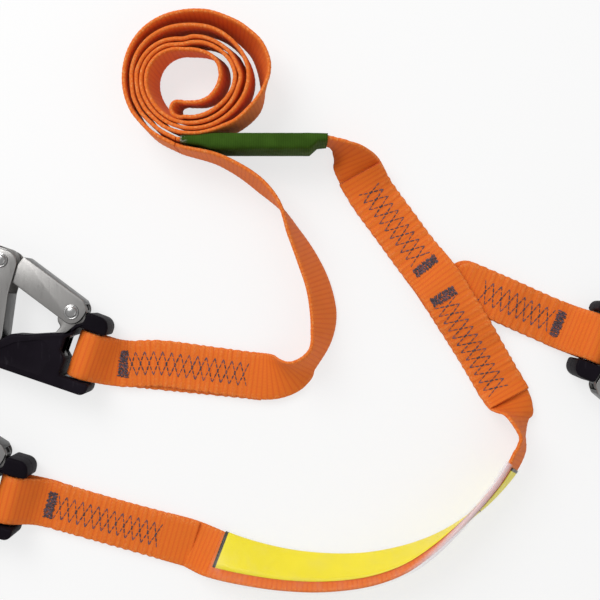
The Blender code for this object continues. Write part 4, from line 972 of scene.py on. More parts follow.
def webbing_material():
    """Ribbed polyester webbing, paler on its rims and pucker crests: partly rubbed yarn, partly painted
    highlight.
    """
    settings = bpy.context.scene.tether_webbing
    look = Look("ribbed_webbing")
    rib, yarn = look.plain_weave(settings.rib_pitch, settings.yarn_pitch)
    woven = look.product(look.calculate("POWER", rib, 0.6), look.ranged(yarn, 0.0, 1.0, 0.55, 1.0))
    fibre = look.speckle(5200.0)
    shade = look.total(woven, look.ranged(fibre, 0.3, 0.7, -0.18, 0.18))
    # Painted shade: colour runs from the valley colour in the weave's hollows to the crest colour on raised
    # yarns, with random fibre tone
    colour = look.mixed(look.ranged(shade, 0.0, 0.85), settings.valley_shade_colour, settings.crest_colour)
    patch = look.ranged(look.speckle(70.0, 3.0), 0.35, 0.7, 0.0, 0.35)
    colour = look.mixed(patch, colour, scaled(settings.crest_colour, 0.82))
    # Pale streaks on pucker crests and flecks on rims: partly rubbed yarn, partly painted highlight
    streaks = look.ranged(look.speckle(900.0), 0.42, 0.64, 0.0, 0.42)
    flecks = look.ranged(look.speckle(1100.0), 0.54, 0.66, 0.03, 0.60)
    creased = look.product(look.stored("crease"), streaks)
    rubbed = look.highest(creased, look.product(look.stored("rim"), flecks))
    return look.finish(
        look.total(woven, look.product(fibre, 0.3)), 0.13,
        Base_Color=look.mixed(rubbed, colour, settings.pale_colour),
        Roughness=look.ranged(fibre, 0.3, 0.7, 0.70, 0.86),
        Sheen_Weight=0.10,
        Sheen_Roughness=0.45,
        Sheen_Tint=(1.0, 0.62, 0.35, 1.0),
    )


def thread_material():
    """Dark polyester thread, greyer where it is rubbed."""
    settings = bpy.context.scene.tether_sewing
    look = Look("sewing_thread")
    worn = look.total(look.stored("worn"), look.ranged(look.speckle(2600.0), 0.3, 0.7, -0.25, 0.25))
    return look.finish(
        look.speckle(4200.0), 0.08,
        Base_Color=look.mixed(look.ranged(worn, 0.0, 1.0), settings.dark_colour, settings.light_colour),
        Roughness=0.62,
        Sheen_Weight=0.2,
    )


def cover_material():
    """Coated green weave, cut and speckled at its left end."""
    settings = bpy.context.scene.tether_trim
    look = Look("green_cover_weave")
    rib, yarn = look.plain_weave(COVER_RIB_PITCH * MM, COVER_YARN_PITCH * MM)
    woven = look.product(rib, look.ranged(yarn, 0.0, 1.0, 0.5, 1.0))
    # Partly painted shade: the tone is darker in the hollows of the weave, with random tone on top
    tone = look.total(woven, look.ranged(look.speckle(160.0, 4.0), 0.3, 0.7, -0.35, 0.25))
    shades = [scaled(settings.cover_colour, factor) for factor in (0.75, 1.2)]
    colour = look.mixed(look.ranged(tone, 0.0, 1.0), *shades)
    cut = look.ranged(look.weave_axes()[1], 4.0 * MM, 0.6 * MM)
    fray = look.product(cut, look.ranged(look.speckle(850.0), 0.50, 0.60))
    soot = look.product(cut, look.ranged(look.speckle(600.0, 4.0), 0.52, 0.60))
    colour = look.mixed(fray, colour, FRAY_COLOUR)
    return look.finish(
        look.total(woven, look.product(look.speckle(500.0, 4.0), 1.4)), 0.06,
        Base_Color=look.mixed(soot, colour, SOOT_COLOUR),
        Roughness=look.ranged(tone, 0.0, 1.0, 0.80, 0.66),
        Specular_IOR_Level=0.04,
    )


def label_material(length):
    """Yellow strip with a dark line at each end and one across it."""
    settings = bpy.context.scene.tether_trim
    look = Look("label_strip")
    line = 0.0
    last = length - LABEL_BORDER_INSET
    for middle, width in ((LABEL_BORDER_INSET, 1.0), (LABEL_LINE_AT, 0.35), (last, 1.0)):
        away = look.calculate("ABSOLUTE", look.calculate("SUBTRACT", look.weave_axes()[1], middle * MM))
        half = settings.label_border * width / 2
        line = look.highest(line, look.ranged(away, half + LINE_BLUR * MM, half - LINE_BLUR * MM))
    tone = look.ranged(look.speckle(45.0, 3.0), 0.35, 0.7, 0.0, 0.30)
    colour = look.mixed(tone, settings.label_colour, scaled(settings.label_colour, 0.78))
    return look.finish(
        look.speckle(380.0, 3.0), 0.10,
        Base_Color=look.mixed(line, colour, LINE_COLOUR),
        Roughness=look.ranged(look.speckle(300.0), 0.3, 0.7, 0.38, 0.55),
    )


def film_material():
    """Clear film, paler along its loose folded edge."""
    look = Look("clear_film")
    haze = look.ranged(look.speckle(130.0, 3.0), 0.5, 0.8, FILM_HAZE, FILM_HAZE + 0.03)
    return look.finish(
        look.speckle(240.0), 0.15,
        Base_Color=(*bpy.context.scene.tether_trim.film_colour, 1.0),
        Alpha=look.total(haze, look.product(look.stored("rim"), FILM_EDGE)),
        Roughness=look.ranged(look.speckle(900.0), 0.3, 0.7, 0.10, 0.24),
    )


def metal_material(name, tint, rough_low, rough_high):
    """Steel with fine scratches and uneven polish, with painted shade on its upright side faces."""
    look = Look(name)
    grain = look.speckle(3200.0)
    scratch = look.speckle(700.0, 3.0, (1.0, 0.12, 1.0))
    patch = look.ranged(look.speckle(55.0, 4.0), 0.3, 0.7, 0.0, 0.6)
    tone = look.total(patch, look.ranged(scratch, 0.35, 0.7, 0.0, 0.4))
    colour = look.mixed(tone, tint, scaled(tint, 0.80))
    # Painted shade: the stored edge value is how upright a face is, and upright faces are darkened
    edge = look.ranged(look.stored("edge"), 0.25, 0.9)
    scuffed = look.ranged(scratch, 0.3, 0.7, rough_low, rough_high)
    return look.finish(
        look.total(scratch, look.product(grain, 0.5)), 0.012,
        Base_Color=look.mixed(edge, colour, scaled(tint, PAINTED_SIDE_SHADE)),
        Metallic=1.0,
        Roughness=look.total(scuffed, look.ranged(grain, 0.3, 0.7, -0.03, 0.03)),
    )


def grip_material():
    """Black moulded nylon with a fine grain."""
    tint = bpy.context.scene.tether_hooks.grip_colour
    look = Look("moulded_nylon")
    grain = look.speckle(1900.0, 3.0)
    colour = look.mixed(look.ranged(look.speckle(40.0, 3.0), 0.35, 0.7), tint, scaled(tint, 1.9))
    scuff = look.product(look.ranged(look.speckle(420.0, 4.0, (1.0, 0.2, 1.0)), 0.62, 0.72), 0.30)
    return look.finish(
        grain, 0.05,
        Base_Color=look.mixed(scuff, colour, SCUFF_COLOUR),
        Roughness=look.ranged(grain, 0.3, 0.7, 0.42, 0.56),
        Specular_IOR_Level=0.03,
    )


def floor_material():
    """White floor that still takes shadows."""
    settings = bpy.context.scene.tether_stage
    look = Look("pale_floor")
    level = settings.floor_level
    tone = look.ranged(look.speckle(6.0), 0.3, 0.7, level - 0.012, level)
    look.dress(
        Base_Color=look.node("CombineColor", tone, tone, tone).outputs[0],
        Roughness=0.9,
        Specular_IOR_Level=0.0,
    )
    rays = look.node("LightPath").outputs
    seen = look.highest(rays["Is Camera Ray"], rays["Is Glossy Ray"])
    seen = look.product(look.highest(seen, rays["Is Transmission Ray"]), settings.white_share)
    white = look.node("Emission", (1.0, 1.0, 1.0, 1.0), settings.white_level)
    mix = look.node("MixShader", seen, look.shader.outputs[0], white.outputs[0])
    look.feed(look.tree.nodes["Material Output"].inputs["Surface"], mix.outputs[0])
    return look.material


def make_straps():
    """Every strap, woven along its route."""
    weave = webbing_material()
    routes = (
        ("lead_webbing", "main_strap_lead", lead_stations(), 0.0),
        ("roll_webbing", "main_strap_roll", roll_stations(), 0.0),
        ("tail_webbing", "main_strap_tail", tail_stations(), 0.0),
        ("branch_webbing", "branch_strap", branch_stations(), BRANCH_CORNER),
        ("overlay_webbing", "joint_overlay_strap", overlay_stations(), 0.0),
    )
    for name, node, stations, corner in routes:
        bm, length = woven_strap(stations, corner)
        piece = finished_piece(name, mesh_from(bm, name, smooth=True), "orange_webbing", weave, node)


def surface_at(places, mark, aside):
    """Point on the upper face of a sewn strap, and its upward normal, in millimetres."""
    step = places[1][0]
    index = max(0, min(int(mark / step), len(places) - 2))
    t = mark / step - index
    _, first, across, normal = places[index]
    centre = first.lerp(places[index + 1][1], t)
    upward = normal if normal.z > 0.0 else -normal
    wave, strength = pucker_at(centre)
    lift = pucker_height(wave, strength, aside)
    return centre + across * aside + upward * (THICKNESS / 2) + UP * lift, upward


def stitch_shape():
    """Points and faces of one bead of thread, with its long axis along z."""
    bm = bmesh.new()
    bmesh.ops.create_uvsphere(bm, u_segments=8, v_segments=5, radius=1.0)
    bm.verts.index_update()
    points = [vert.co.copy() for vert in bm.verts]
    faces = [[vert.index for vert in face.verts] for face in bm.faces]
    bm.free()
    return points, faces


def sewn_mesh(name, stitches):
    """One mesh of all stitches of a seam, from the place of each and how rubbed it is."""
    points, faces = stitch_shape()
    places = []
    rings = []
    worn = []
    for matrix, value in stitches:
        first = len(places)
        places += [matrix @ point for point in points]
        rings += [[first + index for index in face] for face in faces]
        worn += [value] * len(points)
    mesh = bpy.data.meshes.new(name)
    mesh.from_pydata(places, [], rings)
    mesh.attributes.new("worn", "FLOAT", "POINT").data.foreach_set("value", worn)
    mesh.shade_smooth()
    return mesh


def stitch_between(start, end, normal, radius, worn):
    """One stitch: a stretched bead between two points, half sunk in the strap."""
    run = end - start
    side = run.cross(normal).normalized()
    up = side.cross(run).normalized()
    columns = [side * radius, up * radius * STITCH_DEPTH, run / 2]
    matrix = Matrix(columns).transposed().to_4x4()
    return Matrix.Scale(MM, 4) @ Matrix.Translation((start + end) / 2 - PLAN_CENTRE) @ matrix, worn


def leg_stitches(places, marks, sides, underside, chance):
    """Stitches of one leg of the zigzag, from side to side."""
    settings = bpy.context.scene.tether_sewing
    radius = settings.thread_radius / MM
    count = settings.stitches_per_leg
    points = []
    for index in range(count + 1):
        t = index / count
        jitter = chance.uniform(-STITCH_JITTER, STITCH_JITTER)
        point, normal = surface_at(places, marks[0] + (marks[1] - marks[0]) * t,
                                   sides[0] + (sides[1] - sides[0]) * t + jitter)
        points.append((point, normal))
    stitches = []
    for index in range(count):
        start, normal = points[index]
        end, _ = points[index + 1]
        trim = (end - start) * chance.uniform(0.0, STITCH_TRIM)
        outer = abs(index + 0.5 - count / 2) / (count / 2)
        worn = 0.7 * outer ** 2 + chance.uniform(-0.1, 0.55)
        lift = normal * radius * STITCH_LIFT
        thick = radius * chance.uniform(0.7, 1.25) * (1.15 - 0.35 * outer)
        stitches.append(stitch_between(start + trim + lift, end - trim + lift, normal, thick, worn))
        low = Vector((0.0, 0.0, underside(start, end)))
        under = radius * UNDER_STITCH
        stitches.append(stitch_between(start.xy.to_3d() + low, end.xy.to_3d() + low, UP, under, worn))
    return stitches


def make_seam(name, places, mark, thread):
    """Two zigzags that cross, sewn through all layers."""
    strap, _, (low, high), aside, legs = SEAMS[name]
    chance = random.Random(name)
    stitches = []

    def underside(start, end):
        if strap == "overlay":
            return UNDER_THREAD_Z
        middle = (start.z + end.z) / 2
        return max(UNDER_THREAD_Z, middle - LAYER_STEP - THICKNESS + UNDER_THREAD_Z)

    for turn in (1, -1):
        for index in range(legs):
            side = turn if index % 2 else -turn
            marks = [mark + low + (high - low) * (index + part) / legs for part in (0, 1)]
            sides = [aside + SEAM_HALF_WIDTH * side, aside - SEAM_HALF_WIDTH * side]
            stitches += leg_stitches(places, marks, sides, underside, chance)
    finished_piece(name + "_stitches", sewn_mesh(name, stitches), "dark_thread", thread, name)


def make_tack(name, places, mark, thread):
    """Bar tack: close stitches along the strap, side by side across it."""
    _, _, along, aside = TACKS[name]
    chance = random.Random(name)
    stitches = []
    radius = bpy.context.scene.tether_sewing.thread_radius / MM
    for row in range(TACK_ROWS):
        for column in range(TACK_COLUMNS):
            step = TACK_REACH / TACK_COLUMNS
            side = aside + TACK_LENGTH * ((row + chance.uniform(0.1, 0.9)) / TACK_ROWS - 0.5)
            middle = mark + along + step * (column - (TACK_COLUMNS - 1) / 2 + chance.uniform(-0.25, 0.25))
            half = step * chance.uniform(0.45, 0.75)
            slant = chance.uniform(-0.45, 0.45)
            start, normal = surface_at(places, middle - half, side - slant)
            end, _ = surface_at(places, middle + half, side + slant)
            lift = normal * radius * chance.uniform(0.5, 1.3)
            worn = chance.uniform(-0.1, 0.75)
            stitches.append(stitch_between(start + lift, end + lift, normal, radius * TACK_STITCH, worn))
    finished_piece(name + "_stitches", sewn_mesh(name, stitches), "dark_thread", thread, name)


def make_sewing():
    """All seams and bar tacks."""
    thread = thread_material()
    step = bpy.context.scene.tether_webbing.rib_pitch / MM / STATIONS_PER_RIB
    straps = sewn_straps()
    places = {strap: laid_places(stations, step) for strap, stations in straps.items()}
    for table, make in ((SEAMS, make_seam), (TACKS, make_tack)):
        for name, (strap, place, *_) in table.items():
            make(name, places[strap], mark_of(straps[strap], place), thread)


def cover_ring():
    """Section of the cover as parts of its half width and height, with room for its folds."""
    parts = [index / (COVER_SIDE_POINTS - 1) for index in range(COVER_SIDE_POINTS)]
    ring = [(1.0, 0.03 + 0.92 * t) for t in parts]
    for degrees in (25, 55, 90, 125, 155):
        angle = math.radians(degrees)
        ring.append((math.cos(angle) * 0.96, 0.965 + 0.035 * math.sin(angle)))
    ring += [(-1.0, 0.95 - 0.92 * t) for t in parts]
    return ring + [(-0.55, 0.0), (0.0, 0.0), (0.55, 0.0)]


def make_cover():
    """Overload cover: a coated tube pulled flat round the folded strap."""
    low = COVER_SECTIONS[0][0]
    high = COVER_SECTIONS[-1][0]
    count = round((high - low) / COVER_STEP)
    ring = cover_ring()
    middles = [(x - low, y) for x, y, _ in COVER_SECTIONS]
    halves = [(x - low, half) for x, _, half in COVER_SECTIONS]
    rows = []
    for index in range(count + 1):
        x = low + (high - low) * index / count
        rows.append((x, height_at(middles, x - low), height_at(halves, x - low)))

    def place_of(column, row):
        x, y, half = rows[row]
        side, rise = ring[column]
        belly = math.sin(math.pi * rise) * smooth_step(0.0, 0.2, 1.0 - abs(2.0 * row / count - 1.0))
        fold = abs(noise.noise(Vector((x * 0.16, rise * 2.2, side * 3.0))))
        out = side * (half + belly * (0.35 + 0.9 * fold))
        fray = 0.5 * noise.noise(Vector((rise * 9.0, side * 4.0, x))) if row in (0, count) else 0.0
        top = 0.5 * fold * smooth_step(0.9, 1.0, rise)
        spot = Vector((x + fray, y + out, COVER_HEIGHT * rise + COVER_WALL / 2 + top))
        return (spot - PLAN_CENTRE) * MM

    bm = wrapped_grid(len(ring), len(rows), place_of,
                      lambda column, row: (column * COVER_ROUND / len(ring) * MM, (rows[row][0] - low) * MM))
    piece = walled_piece("cover_shell", bm, "green_cover", cover_material(), "overload_cover", COVER_WALL)


def walled_piece(name, bm, slot, material, node, thickness):
    """Finish a thin shell and give it its wall."""
    bmesh.ops.recalc_face_normals(bm, faces=bm.faces)
    piece = finished_piece(name, mesh_from(bm, name, smooth=True), slot, material, node)
    solidify = piece.modifiers.new("wall", "SOLIDIFY")
    solidify.thickness = thickness * MM
    solidify.offset = 0.0
    return piece


def label_route():
    """Stations of the long leg between the two ends of the clear film."""
    route = lean_stations(TAIL_ROUTE)
    starts = [(centre.xy - Vector(LABEL_FIRST)).length for centre, _ in route]
    ends = [(centre.xy - Vector(LABEL_LAST)).length for centre, _ in route]
    return route[starts.index(min(starts)):ends.index(min(ends)) + 1]


def label_ring():
    """Section of the label: up one face, round the edge that stands on the floor and up the other."""
    flat = (WIDTH - THICKNESS) / 2
    inside = THICKNESS / 2 + LABEL_GAP
    parts = [index / (LABEL_FACE_POINTS - 1) for index in range(LABEL_FACE_POINTS)]
    turns = [math.radians(degrees) for degrees in (60, 30, 0, -30, -60)]
    ring = []
    for reach, order in ((inside + LABEL_THICKNESS, 1), (inside, -1)):
        layer = [(flat - LABEL_FACE * (1 - t), reach) for t in parts]
        layer += [(flat + reach * math.cos(turn), reach * math.sin(turn)) for turn in turns]
        layer += [(flat - LABEL_FACE * t, -reach) for t in parts]
        ring += layer[::order]
    return ring


def make_label():
    """Yellow strip folded round the strap, and the clear film over it."""
    places = laid_places(label_route(), LABEL_STEP)
    ring = label_ring()
    inner = places[1:-1]
    start = inner[0][0]
    length = inner[-1][0] - start

    def place_of(column, row):
        _, centre, across, normal = inner[row]
        a, b = ring[column]
        return (centre + across * a + normal * b - PLAN_CENTRE) * MM

    bm = wrapped_grid(len(ring), len(inner), place_of,
                      lambda column, row: (column * MM, (inner[row][0] - start) * MM))
    close_ends(bm)
    piece = finished_piece("label_strip", mesh_from(bm, "label_strip", smooth=True), "yellow_label",
                           label_material(length), "label_front", "label_back")
    make_film(places)


def film_ring():
    """Section of the flattened clear sleeve: across, through, and 1 at its two folded edges."""
    ring = []
    for index in range(FILM_POINTS):
        angle = 2 * math.pi * index / FILM_POINTS
        a = math.copysign(abs(math.cos(angle)) ** 0.35, math.cos(angle))
        b = math.copysign(abs(math.sin(angle)) ** 0.8, math.sin(angle))
        ring.append((a * FILM_WIDTH / 2, b * FILM_HALF_DEPTH, smooth_step(0.90, 1.0, abs(a))))
    return ring


def make_film(places):
    """Clear flattened sleeve over the label, with a loose wavy edge."""
    ring = film_ring()

    def loose_at(column, row):
        a, _, edge = ring[column]
        hold = smooth_step(FILM_LOOSE_TO - FILM_LOOSE_FADE, FILM_LOOSE_TO, places[row][0])
        return edge * (1.0 - hold) if a < 0.0 else 0.0

    def place_of(column, row):
        mark, centre, across, normal = places[row]
        a, b, _ = ring[column]
        wave = noise.noise(Vector((mark * 0.055, a * 0.05, 0.0)))
        proud = FILM_LOOSE * loose_at(column, row) * (0.75 + 0.6 * wave)
        return (centre + across * (a - proud) + normal * b * (1.0 + 0.10 * wave) - PLAN_CENTRE) * MM

    bm = wrapped_grid(len(ring), len(places), place_of,
                      lambda column, row: (column * MM, places[row][0] * MM),
                      lambda column, row: (loose_at(column, row), 0.0))
    piece = walled_piece("film_sleeve", bm, "clear_film", film_material(), "clear_sleeve", FILM_WALL)


def fillet_outline(corners, step_degrees=12.0):
    """Round each corner (x, y, radius) of a closed outline with an arc."""
    points = []
    count = len(corners)
    for index, (x, y, radius) in enumerate(corners):
        here = Vector((x, y))
        if radius <= 0.0:
            points.append(here)
            continue
        before = (Vector(corners[index - 1][:2]) - here).normalized()
        after = (Vector(corners[(index + 1) % count][:2]) - here).normalized()
        half = math.acos(max(-1.0, min(1.0, before.dot(after)))) / 2
        reach = radius / math.tan(half)
        centre = here + (before + after).normalized() * (radius / math.sin(half))
        start = here + before * reach - centre
        sweep = start.angle_signed(here + after * reach - centre)
        steps = max(2, round(abs(math.degrees(sweep)) / step_degrees))
        for step in range(steps + 1):
            points.append(centre + Matrix.Rotation(-sweep * step / steps, 2) @ start)
    return points


def flat_edges(bm):
    """Edges of a plate or rod that don't run through its thickness."""
    return [edge for edge in bm.edges if abs(edge.verts[0].co.z - edge.verts[1].co.z) < 0.1 * MM]


def bevelled(bm, radius, segments=3):
    """Round the rims of a plate or rod."""
    bmesh.ops.bevel(bm, geom=flat_edges(bm), offset=radius * MM, segments=segments, profile=0.5,
                    affect="EDGES", material=-1)


def grow_walls(bm, distance):
    """Move the walls of a plate outwards evenly."""
    walls = [face for face in bm.faces if abs(face.normal.z) < 0.5]
    push = {}
    for vert in bm.verts:
        sides = [face.normal for face in vert.link_faces if face in walls]
        middle = sum(sides, Vector()).normalized()
        push[vert] = middle * (distance * MM / max(0.3, middle.dot(sides[0])))
    for vert, offset in push.items():
        vert.co += offset


def plate(name, corners, half, rim=0.0, segments=3, grow=0.0):
    """Flat plate about z = 0 from an outline, with rounded rims, grown evenly if asked."""
    bm = bmesh.new()
    verts = [bm.verts.new((point.x * MM, point.y * MM, -half * MM)) for point in fillet_outline(corners)]
    edges = [bm.edges.new(pair) for pair in zip(verts, verts[1:] + verts[:1])]
    face = bmesh.ops.contextual_create(bm, geom=edges)["faces"][0]
    grown = bmesh.ops.extrude_face_region(bm, geom=[face])["geom"]
    bmesh.ops.translate(bm, verts=[item for item in grown if isinstance(item, bmesh.types.BMVert)],
                        vec=(0.0, 0.0, 2 * half * MM))
    bmesh.ops.recalc_face_normals(bm, faces=bm.faces)
    if grow > 0.0:
        grow_walls(bm, grow)
    if rim > 0.0:
        bevelled(bm, rim, segments)
    return mesh_from(bm, name)


def rod(name, radius, low, high, place=(0.0, 0.0, 0.0), axis="Z", rim=0.0):
    """Round bar along an axis, with rounded ends if asked."""
    bm = bmesh.new()
    bmesh.ops.create_cone(bm, cap_ends=True, segments=ROD_SIDES, radius1=radius * MM, radius2=radius * MM,
                          depth=(high - low) * MM)
    if rim > 0.0:
        bevelled(bm, rim)
    bmesh.ops.translate(bm, verts=bm.verts, vec=(0.0, 0.0, (high + low) / 2 * MM))
    if axis == "Y":
        bmesh.ops.rotate(bm, verts=bm.verts, matrix=Matrix.Rotation(-math.pi / 2, 3, "X"))
    bmesh.ops.translate(bm, verts=bm.verts, vec=Vector(place) * MM)
    return mesh_from(bm, name)


def block(name, low, high):
    """Box between two corners, used to cut other pieces."""
    bm = bmesh.new()
    bmesh.ops.create_cube(bm, size=1.0)
    bmesh.ops.scale(bm, verts=bm.verts, vec=(Vector(high) - Vector(low)) * MM)
    bmesh.ops.translate(bm, verts=bm.verts, vec=(Vector(high) + Vector(low)) / 2 * MM)
    return mesh_from(bm, name)


def combine(first, *tools, operation="DIFFERENCE"):
    """Cut a mesh by others, or join them, with exact Booleans."""
    body = linked("body", first)
    helpers = [linked("tool", tool) for tool in tools]
    for helper in helpers:
        boolean = body.modifiers.new("boolean", "BOOLEAN")
        boolean.object = helper
        boolean.operation = operation
        boolean.solver = "EXACT"
    graph = bpy.context.evaluated_depsgraph_get()
    result = bpy.data.meshes.new_from_object(body.evaluated_get(graph))
    for helper in (body, *helpers):
        bpy.data.objects.remove(helper, do_unlink=True)
    bm = bmesh.new()
    bm.from_mesh(result)
    bmesh.ops.remove_doubles(bm, verts=bm.verts, dist=0.002 * MM)
    bm.to_mesh(result)
    bm.free()
    return result


def frame_mesh():
    """Hook frame: eye fork, spine, bow and nose in one plate, with a forked ear."""
    return combine(
        plate("frame", FRAME_OUTLINE, FRAME_HALF, rim=1.0),
        rod("ear_hole", RIVET_HOLE, -CUTTER_HALF, CUTTER_HALF, LEVER_PIVOT),
        rod("pin_hole", RIVET_HOLE, -CUTTER_HALF, CUTTER_HALF, BRACKET_PIN),
        rod("eye_hole", EYE_BORE, -30.0, 30.0, axis="Y"),
        block("ear_slot", *EAR_SLOT),
    )


def grip_mesh(upper):
    """One moulded half of the grip, hollowed for the frame and the bracket, with a bare recessed panel."""
    edge = bpy.context.scene.tether_hooks.grip_edge / MM
    panel = plate("panel", GRIP_PANEL, PANEL_DEPTH * 2, rim=PANEL_DEPTH * 0.5, segments=2)
    panel.transform(Matrix.Translation((0.0, 0.0, (GRIP_HALF + PANEL_DEPTH) * MM)))
    shell = combine(
        plate("grip", GRIP_OUTLINE, GRIP_HALF, rim=edge, segments=5),
        block("other_half", *OTHER_HALF),
        plate("frame_room", FRAME_OUTLINE, FRAME_HALF + RUNNING_GAP, grow=RUNNING_GAP),
        plate("bracket_room", BRACKET_OUTLINE, POCKET_HALF, grow=0.4),
        rod("pin_room", EYE_BORE + 0.1, -EYE_PIN_HALF - 0.4, EYE_PIN_HALF + 0.4, axis="Y"),
        panel,
    )
    if not upper:
        shell.transform(Matrix.Diagonal((1.0, 1.0, -1.0, 1.0)))
        shell.flip_normals()
    return shell


def channel_mesh(name, outline, hollow, inside, outside, holes, rim=0.55):
    """Folded sheet channel: a thick plate with its middle taken out."""
    cuts = [plate(name + "_hollow", hollow, inside)]
    cuts += [rod(name + "_hole", RIVET_HOLE, -CUTTER_HALF, CUTTER_HALF, place) for place in holes]
    return combine(plate(name, outline, outside, rim=rim), *cuts)


def gate_mesh():
    """Gate: a folded channel with a latch bar that bears inside the nose."""
    mesh = channel_mesh("gate", GATE_OUTLINE, GATE_HOLLOW, CHANNEL_INSIDE, CHANNEL_OUTSIDE, (GATE_PIVOT,))
    half_bar = (CHANNEL_INSIDE + CHANNEL_OUTSIDE) / 2
    bar = rod("latch_bar", LATCH_BAR_RADIUS, -half_bar, half_bar, LATCH_BAR)
    return combine(mesh, bar, operation="UNION")


def lever_point(along, outwards):
    """Turn a place on the lock lever into the hook's plan."""
    direction = (GATE_PIVOT - LEVER_PIVOT).normalized()
    normal = Vector((direction.y, -direction.x, 0.0))
    return LEVER_PIVOT + direction * along + normal * outwards


def lever_mesh():
    """Lock lever: a folded channel from its rivet to the bracket."""
    outline = [(*lever_point(u, v).xy, r) for u, v, r in LEVER_OUTLINE]
    hollow = [(*lever_point(u, v).xy, r) for u, v, r in LEVER_HOLLOW]
    return channel_mesh("lever", outline, hollow, CHANNEL_INSIDE, CHANNEL_OUTSIDE, (LEVER_PIVOT,))


def turned(name, profile, place):
    """Spin a profile of radius and height about z, at a place."""
    bm = bmesh.new()
    verts = [bm.verts.new((radius * MM, 0.0, height * MM)) for radius, height in profile]
    edges = [bm.edges.new(pair) for pair in zip(verts, verts[1:])]
    bmesh.ops.spin(bm, geom=verts + edges, cent=(0.0, 0.0, 0.0), axis=UP, dvec=(0.0, 0.0, 0.0),
                   angle=2 * math.pi, steps=TURNED_STEPS, use_merge=True, use_duplicate=False)
    bmesh.ops.remove_doubles(bm, verts=bm.verts, dist=0.001 * MM)
    bmesh.ops.recalc_face_normals(bm, faces=bm.faces)
    bmesh.ops.translate(bm, verts=bm.verts, vec=Vector(place) * MM)
    return mesh_from(bm, name)


def rivet_mesh(half_grip, place):
    """Rivet with two domed heads, each with a pressed ring."""
    top = half_grip + RIVET_GAP
    head = []
    for part in range(7):
        angle = math.pi / 2 * part / 6
        height = top + 0.35 + RIVET_HEAD_HEIGHT * math.cos(angle) * 0.8
        head.append((RIVET_HEAD_RADIUS * 0.74 * math.sin(angle), height))
    head += [(RIVET_HEAD_RADIUS * share, top + rise) for share, rise in RIVET_RING]
    head.append((RIVET_RADIUS, top))
    return turned("rivet", head + [(radius, -height) for radius, height in reversed(head)], place)


def pin_mesh(name, radius, half, place=(0.0, 0.0, 0.0), axis="Z"):
    """Headless pin with rounded ends."""
    return rod(name, radius, -half, half, place, axis, rim=0.45)


def bush_mesh():
    """Sleeve on the eye pin: a bored tube with rounded rims."""
    end = [(EYE_BORE, -EYE_BUSH_HALF + 0.4), (EYE_BORE + 0.4, -EYE_BUSH_HALF),
           (EYE_BUSH_RADIUS - 0.5, -EYE_BUSH_HALF), (EYE_BUSH_RADIUS, -EYE_BUSH_HALF + 0.5)]
    profile = end + [(radius, -height) for radius, height in reversed(end)]
    mesh = turned("bush", profile + profile[:1], (0.0, 0.0, 0.0))
    mesh.transform(Matrix.Rotation(-math.pi / 2, 4, "X"))
    return mesh


def spring_mesh(half_width, coil, first_leg, second_leg, place):
    """Torsion spring: coils about z with a straight leg at each end."""
    start, end = (math.radians(value) for value in coil)
    steps = round((coil[1] - coil[0]) / 15.0)
    path = []
    for step in range(steps + 1):
        angle = start + (end - start) * step / steps
        x = SPRING_COIL_RADIUS * math.cos(angle)
        y = SPRING_COIL_RADIUS * math.sin(angle)
        path.append(Vector((x, y, half_width * (2 * step / steps - 1))))
    tail = path[0] - Vector((-math.sin(start), math.cos(start), 0.0)) * first_leg
    tip = path[-1] + Vector((-math.sin(end), math.cos(end), 0.0)) * second_leg
    path = [tail, *path, tip]

    def place_of(column, row):
        run = path[min(row + 1, len(path) - 1)] - path[max(row - 1, 0)]
        side = UP.cross(run).normalized()
        top = run.cross(side).normalized()
        angle = 2 * math.pi * column / WIRE_SIDES
        spot = path[row] + (side * math.cos(angle) + top * math.sin(angle)) * SPRING_WIRE_RADIUS
        return (spot + Vector(place)) * MM

    bm = wrapped_grid(WIRE_SIDES, len(path), place_of, lambda column, row: (column * MM, row * MM))
    close_ends(bm)
    return mesh_from(bm, "spring")


def hook_matrix(hook):
    """Matrix from a hook's own plan to the whole object's frame, in metres."""
    x, y, heading = HOOK_PLACES[hook]
    place = (Vector((x, y, HOOK_MID_Z)) - PLAN_CENTRE) * MM
    return Matrix.Translation(place) @ Matrix.Rotation(math.radians(heading), 4, "Z")


def shade_plates(mesh):
    """Smooth shading on rims and round pieces, flat on broad faces, with how upright each face is stored for
    the steel's painted shade.
    """
    broad = BROAD_FACE * MM ** 2
    for face in mesh.polygons:
        face.use_smooth = face.area < broad
    mesh.set_sharp_from_angle(angle=math.radians(SHARP_DEGREES))
    # The edge value is 1 on upright faces, where the steel paints shade
    edge = mesh.attributes.new("edge", "FLOAT", "CORNER")
    edge.data.foreach_set("value", [1.0 - abs(corner.vector.z) for corner in mesh.corner_normals])


